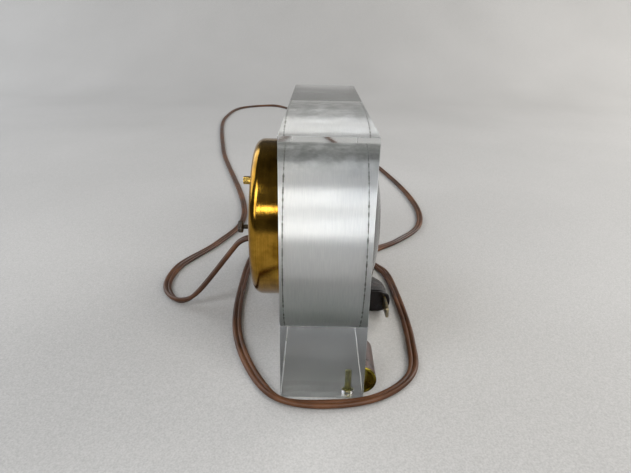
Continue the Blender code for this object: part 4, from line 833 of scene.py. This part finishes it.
# Foot screws. Slotted brass wood screws go up into the block's underside beside the feet, where
# the acrylic shows their threads.
screw_radius = 0.00135
screw_lengths = (0.0015, 0.0024, 0.0119)
screw_pitch, screw_depth = 0.0009, 0.00042
head_radius, head_ease = 0.0026, 0.0003
head_low, head_high = 0.0004, 0.0016
slot_width, slot_depth = 0.0007, 0.0006

profile = eased(disc(head_radius, head_low, head_high), head_ease)
reach, half = head_radius * 1.2, slot_width / 2
slot_ring = np.array(((-reach, -half), (reach, -half), (reach, half), (-reach, half)))
for (x, y), name in zip(screw_places, ("near", "far")):
    centre = (x, y, 0)
    thread = f"foot_screw_{name}_thread"
    shank = threaded(thread, screw_radius, *screw_lengths, screw_pitch, screw_depth, centre, "Z")
    head = turned(f"foot_screw_{name}_head", profile, plain_brass, centre, "Z", steps=64)
    ring = np.array((x, y)) + slot_ring
    heights = (head_low - slot_depth, head_low + slot_depth)
    grid = np.array([np.column_stack((ring, np.full(4, z))) for z in heights])
    cut(head, surface(f"saw_{name}", grid, plain_brass, capped=True))
    for piece in (shank, head):
        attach(piece, "case")
    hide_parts(f"foot_screw_{name}")


# Bezel and crystal. A slim brass ring is let into the bore's front and holds a moulded clear dome,
# whose rim stands proud of it.
bezel_front, bezel_face, bezel_skirt_end = -0.02055, -0.01935, -0.0155
bezel_radius, bezel_skirt, bezel_bore = 0.048825, 0.046025, 0.044325
bezel_bevel, bezel_ease = 0.0006, 0.00025
crystal_radius, crystal_wall = 0.044025, 0.0016
crystal_rim, crystal_rise = -0.02305, 0.008

outline = (
    (bezel_bore, bezel_front), (bezel_radius - bezel_bevel, bezel_front),
    (bezel_radius, bezel_front + bezel_bevel), (bezel_radius, bezel_face),
    (bezel_skirt, bezel_face), (bezel_skirt, bezel_skirt_end),
    (bezel_bore, bezel_skirt_end),
)
profile = eased(outline, bezel_ease, ring=True)
bezel = turned("front_ring", profile, aged_brass, bore_centre, steps=192, ring=True)
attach(bezel, "case")
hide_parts("bezel_ring")

# The moulded dome is clear and glossy, with a slight haze in patches 17 mm across.
moulded_clear, tree, spot = blank_material("moulded_clear_crystal")
dull = fitted(tree, noise(tree, spot, 60.0, 5.0), 0.4, 0.75, 0.01, 0.06)
shade(tree, linear("#F8F8F2"), dull, more={"IOR": 1.49, "Transmission Weight": 1.0})


def dome(radius, base, rise, steps):
    """A shallow dome from its rim to its middle, on a circle: radii and places along Y."""
    ball = (radius**2 + rise**2) / (2 * rise)
    spread = np.linspace(np.arcsin(radius / ball), 0, steps)
    return [(ball * np.sin(a), base - (ball * np.cos(a) - ball + rise)) for a in spread]


inner_radius = crystal_radius - crystal_wall
profile = [
    (crystal_radius, bezel_skirt_end),
    *dome(crystal_radius, crystal_rim, crystal_rise, 33),
    *dome(inner_radius, crystal_rim, crystal_rise - crystal_wall, 33)[::-1],
    (inner_radius, bezel_skirt_end),
    (crystal_radius, bezel_skirt_end),
]
crystal = turned("clear_dome", profile, moulded_clear, bore_centre, steps=192, sharp=25)
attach(crystal, "case")
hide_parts("crystal_dome")


# Dial. A thin plate in matt cream enamel, printed in black with numbers and a minute track.
dial_radius, dial_hole = 0.046025, 0.00236
dial_front, dial_back = -0.0152, -0.0144
dial_ease = 0.0002
ink_front = dial_front - 0.00004
track_radius = 0.0405
hour_mark, minute_mark = (0.0026, 0.0007), (0.0013, 0.00028)
number_radius, number_size = 0.0325, 0.01107

# The enamel has yellowed unevenly, in patches 30 mm across, under a fine orange peel.
enamel, tree, spot = blank_material("matt_cream_enamel")
aging = noise(tree, spot, 30.0, 6.0, 0.6)
tone = ramp(tree, aging, (0.32, "#D6C9A8"), (0.52, "#E4DABE"), (0.72, "#EBE3CB"))
shade(tree, tone, 0.45, raised(tree, noise(tree, spot, 1800.0), 0.12, 0.00005))


def paint(name, dark, light, roughness):
    """Baked paint or smooth board, with dust in specks 2 mm across, each raised a little."""
    made, tree, spot = blank_material(name)
    dust = noise(tree, spot, 420.0, 4.0)
    tone = ramp(tree, dust, (0.4, dark), (0.75, light))
    shade(tree, tone, roughness, raised(tree, dust, 0.1, 0.00003))
    return made


black_paint = paint("satin_black_paint", "#100F0E", "#2B2927", 0.32)
red_paint = paint("satin_red_paint", "#7E1510", "#A32B1F", 0.3)
profile = eased(disc(dial_radius, dial_front, dial_back, dial_hole), dial_ease, ring=True)
dial = turned("enamel_dial", profile, enamel, bore_centre, steps=192, ring=True)
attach(dial, "case")
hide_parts("dial_plate")

corners, faces = [], []
for minute in range(60):
    angle = minute * np.pi / 30
    out, side = np.array((np.sin(angle), np.cos(angle))), np.array((np.cos(angle), -np.sin(angle)))
    long, wide = minute_mark if minute % 5 else hour_mark
    base = len(corners)
    for y in (dial_front, ink_front):
        for reach, across in ((0, -1), (long, -1), (long, 1), (0, 1)):
            x, z = out * (track_radius + reach - long / 2) + side * across * wide / 2
            corners.append((x, y, bore_middle + z))
    quads = ((0, 1, 2, 3), (7, 6, 5, 4), (0, 4, 5, 1), (1, 5, 6, 2), (2, 6, 7, 3), (3, 7, 4, 0))
    faces += [[base + i for i in quad] for quad in quads]
mesh = bpy.data.meshes.new("minute_track")
mesh.from_pydata(corners, [], faces)
track = closed_piece("minute_track", mesh, black_paint)
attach(track, "case")

for hour in range(1, 13):
    angle = hour * np.pi / 6
    text = bpy.data.curves.new(f"hour_{hour}", "FONT")
    text.body = str(hour)
    text.size = number_size
    text.align_x = text.align_y = "CENTER"
    text.extrude = (dial_front - ink_front) / 2
    text.resolution_u = 6
    drawn = put(f"hour_{hour}_text", text)
    mesh = mesh_of(drawn)
    bpy.data.objects.remove(drawn, do_unlink=True)
    points = np.array([vertex.co for vertex in mesh.vertices])
    middle = (points[:, :2].max(0) + points[:, :2].min(0)) / 2
    x = points[:, 0] - middle[0] + number_radius * np.sin(angle)
    z = points[:, 1] - middle[1] + number_radius * np.cos(angle) + bore_middle
    y = (dial_front + ink_front) / 2 - points[:, 2]
    mesh.vertices.foreach_set("co", np.column_stack((x, y, z)).ravel())
    number = closed_piece(f"hour_number_{hour}", mesh, black_paint)
    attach(number, "case")


# Hands. Stamped steel, painted: tapered hour and minute hands in black and a long red second hand
# with a counterweight tail. Each sits on its own pipe or arbor and rides with it.
hand_ease = 0.00008
faceted = {"angle_limit": np.radians(1), "use_dissolve_boundaries": False}
rounded = {"segments": 3, "profile": 0.5, "affect": "EDGES", "clamp_overlap": True}
for name, colour in (("hour", "black"), ("minute", "black"), ("second", "red")):
    shell = bmesh.new()
    shell.from_mesh(nodes[f"{name}_hand"].data)
    bmesh.ops.remove_doubles(shell, verts=shell.verts, dist=1e-6)
    bmesh.ops.dissolve_limit(shell, verts=shell.verts, edges=shell.edges, **faceted)
    sharp_edges = [edge for edge in shell.edges if edge.calc_face_angle(0) > np.radians(60)]
    bmesh.ops.bevel(shell, geom=sharp_edges, offset=hand_ease, **rounded)
    mesh = bpy.data.meshes.new(f"painted_{name}_hand")
    shell.to_mesh(mesh)
    shell.free()
    piece = closed_piece(f"painted_{name}_hand", mesh, red_paint if colour == "red" else black_paint)
    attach(piece, f"{name}_train")
    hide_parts(f"{name}_hand")


# Movement and motor. Brass plates and wheels on steel arbors, behind the dial, and the motor's
# laminated core, wound coil and copper rotor capsule inside the can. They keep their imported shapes.
def worked_metal(name, dark, light, roughness, grain):
    """Metal with slow changes of tone and fine lines along X, five times grain in a metre."""
    made, tree, spot = blank_material(name)
    lines = noise(tree, stretched(tree, spot, (grain / 40, grain, grain)), detail=3.0)
    tone = ramp(tree, noise(tree, spot, 120.0, 5.0, 0.6), (0.36, dark), (0.64, light))
    shade(tree, tone, roughness, raised(tree, lines, 0.3, 0.00003), {"Metallic": 1.0})
    return made


def dress(material, names):
    """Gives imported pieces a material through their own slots."""
    for name in names.split():
        for slot in nodes[name].material_slots:
            slot.material = material


lapped_brass = worked_metal("lapped_brass_plate", "#9C7C36", "#C9A757", 0.26, 3000)
bright_steel = worked_metal("turned_bright_steel", "#8E8F91", "#B9BABC", 0.24, 5000)
browned_steel = worked_metal("browned_steel_shaft", "#2A231B", "#4A4034", 0.35, 5000)
varnished_iron = worked_metal("varnished_iron_laminations", "#2C2C30", "#4A4A50", 0.45, 2000)
bright_copper = worked_metal("bright_copper", "#A55B33", "#CB7F52", 0.27, 4000)
pressed_board = paint("pressed_tan_board", "#8C6C46", "#AE8E63", 0.7)
dress(lapped_brass, "front_plate back_plate plate_pillar_1 plate_pillar_2 plate_pillar_3 core_post_1")
dress(lapped_brass, "core_post_2 hour_wheel motion_wheel centre_wheel intermediate_wheel second_wheel")
dress(bright_steel, "plate_screw_1 plate_screw_2 plate_screw_3 motion_stud clutch_spring centre_pipe")
dress(bright_steel, "intermediate_arbor second_arbor rotor_spindle")
dress(browned_steel, "setting_shaft")
dress(varnished_iron, "stator_core")
dress(bright_copper, "coil_winding rotor_capsule")
dress(pressed_board, "coil_bobbin")
dress(brown_vinyl, "coil_lead_1 coil_lead_2")


# Floor and backdrop. One pale sheet of seamless paper lies flat and then sweeps up behind the
# clock. It is matt, and handling has left it faintly stained.
sweep_start, sweep_radius = 0.82, 0.4
sweep_end = np.radians(88)
sheet_reach, sheet_top = 2.2, 0.42
sheet_last = 0.01
floor_level = -0.0003

paper, tree, spot = blank_material("pale_seamless_paper")
fibre = noise(tree, spot, 1300.0, 3.0)
level = count(tree, "MULTIPLY_ADD", noise(tree, spot, 5.0, 8.0), 0.35, fibre)
tone = ramp(tree, level, (0.45, "#A2A19F"), (0.9, "#B8B7B5"))
shade(tree, tone, 0.72, raised(tree, fibre, 0.15, 0.0002))

lift = np.linspace(0, sweep_end, 45)
swept = sweep_start + sweep_radius * np.sin(lift)
sheet_x = np.array((-sheet_reach, *swept, swept[-1] + sheet_last))[:, None]
sheet_z = np.array((0, *(sweep_radius * (1 - np.cos(lift))), sheet_top))[:, None] + floor_level
sheet_y = np.linspace(-sheet_reach, sheet_reach, 9)
grid = np.stack(np.broadcast_arrays(sheet_x, sheet_y, sheet_z), -1)
floor = surface("paper_sweep", grid, paper, wrap=(False, False))


# Light. Two large soft boxes stand beyond the clock to its left and right. Two tall ones either
# side of the camera light the bore's metal, and a narrow strip behind it draws the brass's bright line.
# The rest of the room is dark, which the brass shows as its brown upper half.
clock_middle = np.array((0.0, 0.0, 0.04))


def soft_box(name, place, width, height, watts, colour):
    """A rectangular lamp at place, facing the clock."""
    lamp = bpy.data.lights.new(name, "AREA")
    lamp.shape = "RECTANGLE"
    lamp.size, lamp.size_y = width, height
    lamp.energy = watts
    lamp.color = linear(colour)[:3]
    back = unit(np.array(place) - clock_middle)
    right = unit(np.cross((0, 0, 1), back))
    set_up(name, lamp, right, np.cross(back, right), back, place)


soft_box("right_box", (0.6, -1.1, 0.75), 0.9, 0.8, 13.5, "#FFFCF8")
soft_box("left_box", (0.7, 1.2, 0.8), 1.4, 1.2, 12.5, "#F7FAFF")
soft_box("near_right_box", (-0.85, -0.75, 0.95), 0.5, 1.1, 13.0, "#FFFCF8")
soft_box("near_left_box", (-0.85, 0.75, 0.95), 0.5, 1.1, 10.5, "#F7FAFF")
soft_box("back_strip", (-1.45, 0.0, 0.92), 1.3, 0.13, 7.5, "#FFFDF8")

world = bpy.data.worlds.new("dim_room")
bpy.context.scene.world = world
world.use_nodes = True
world.node_tree.nodes.clear()
glow = add(world.node_tree, "Background", {"Color": linear("#C8CCD2"), "Strength": 0.15})
add(world.node_tree, "OutputWorld", {"Surface": glow.outputs["Background"]})
bpy.context.scene.view_settings.view_transform = "Standard"
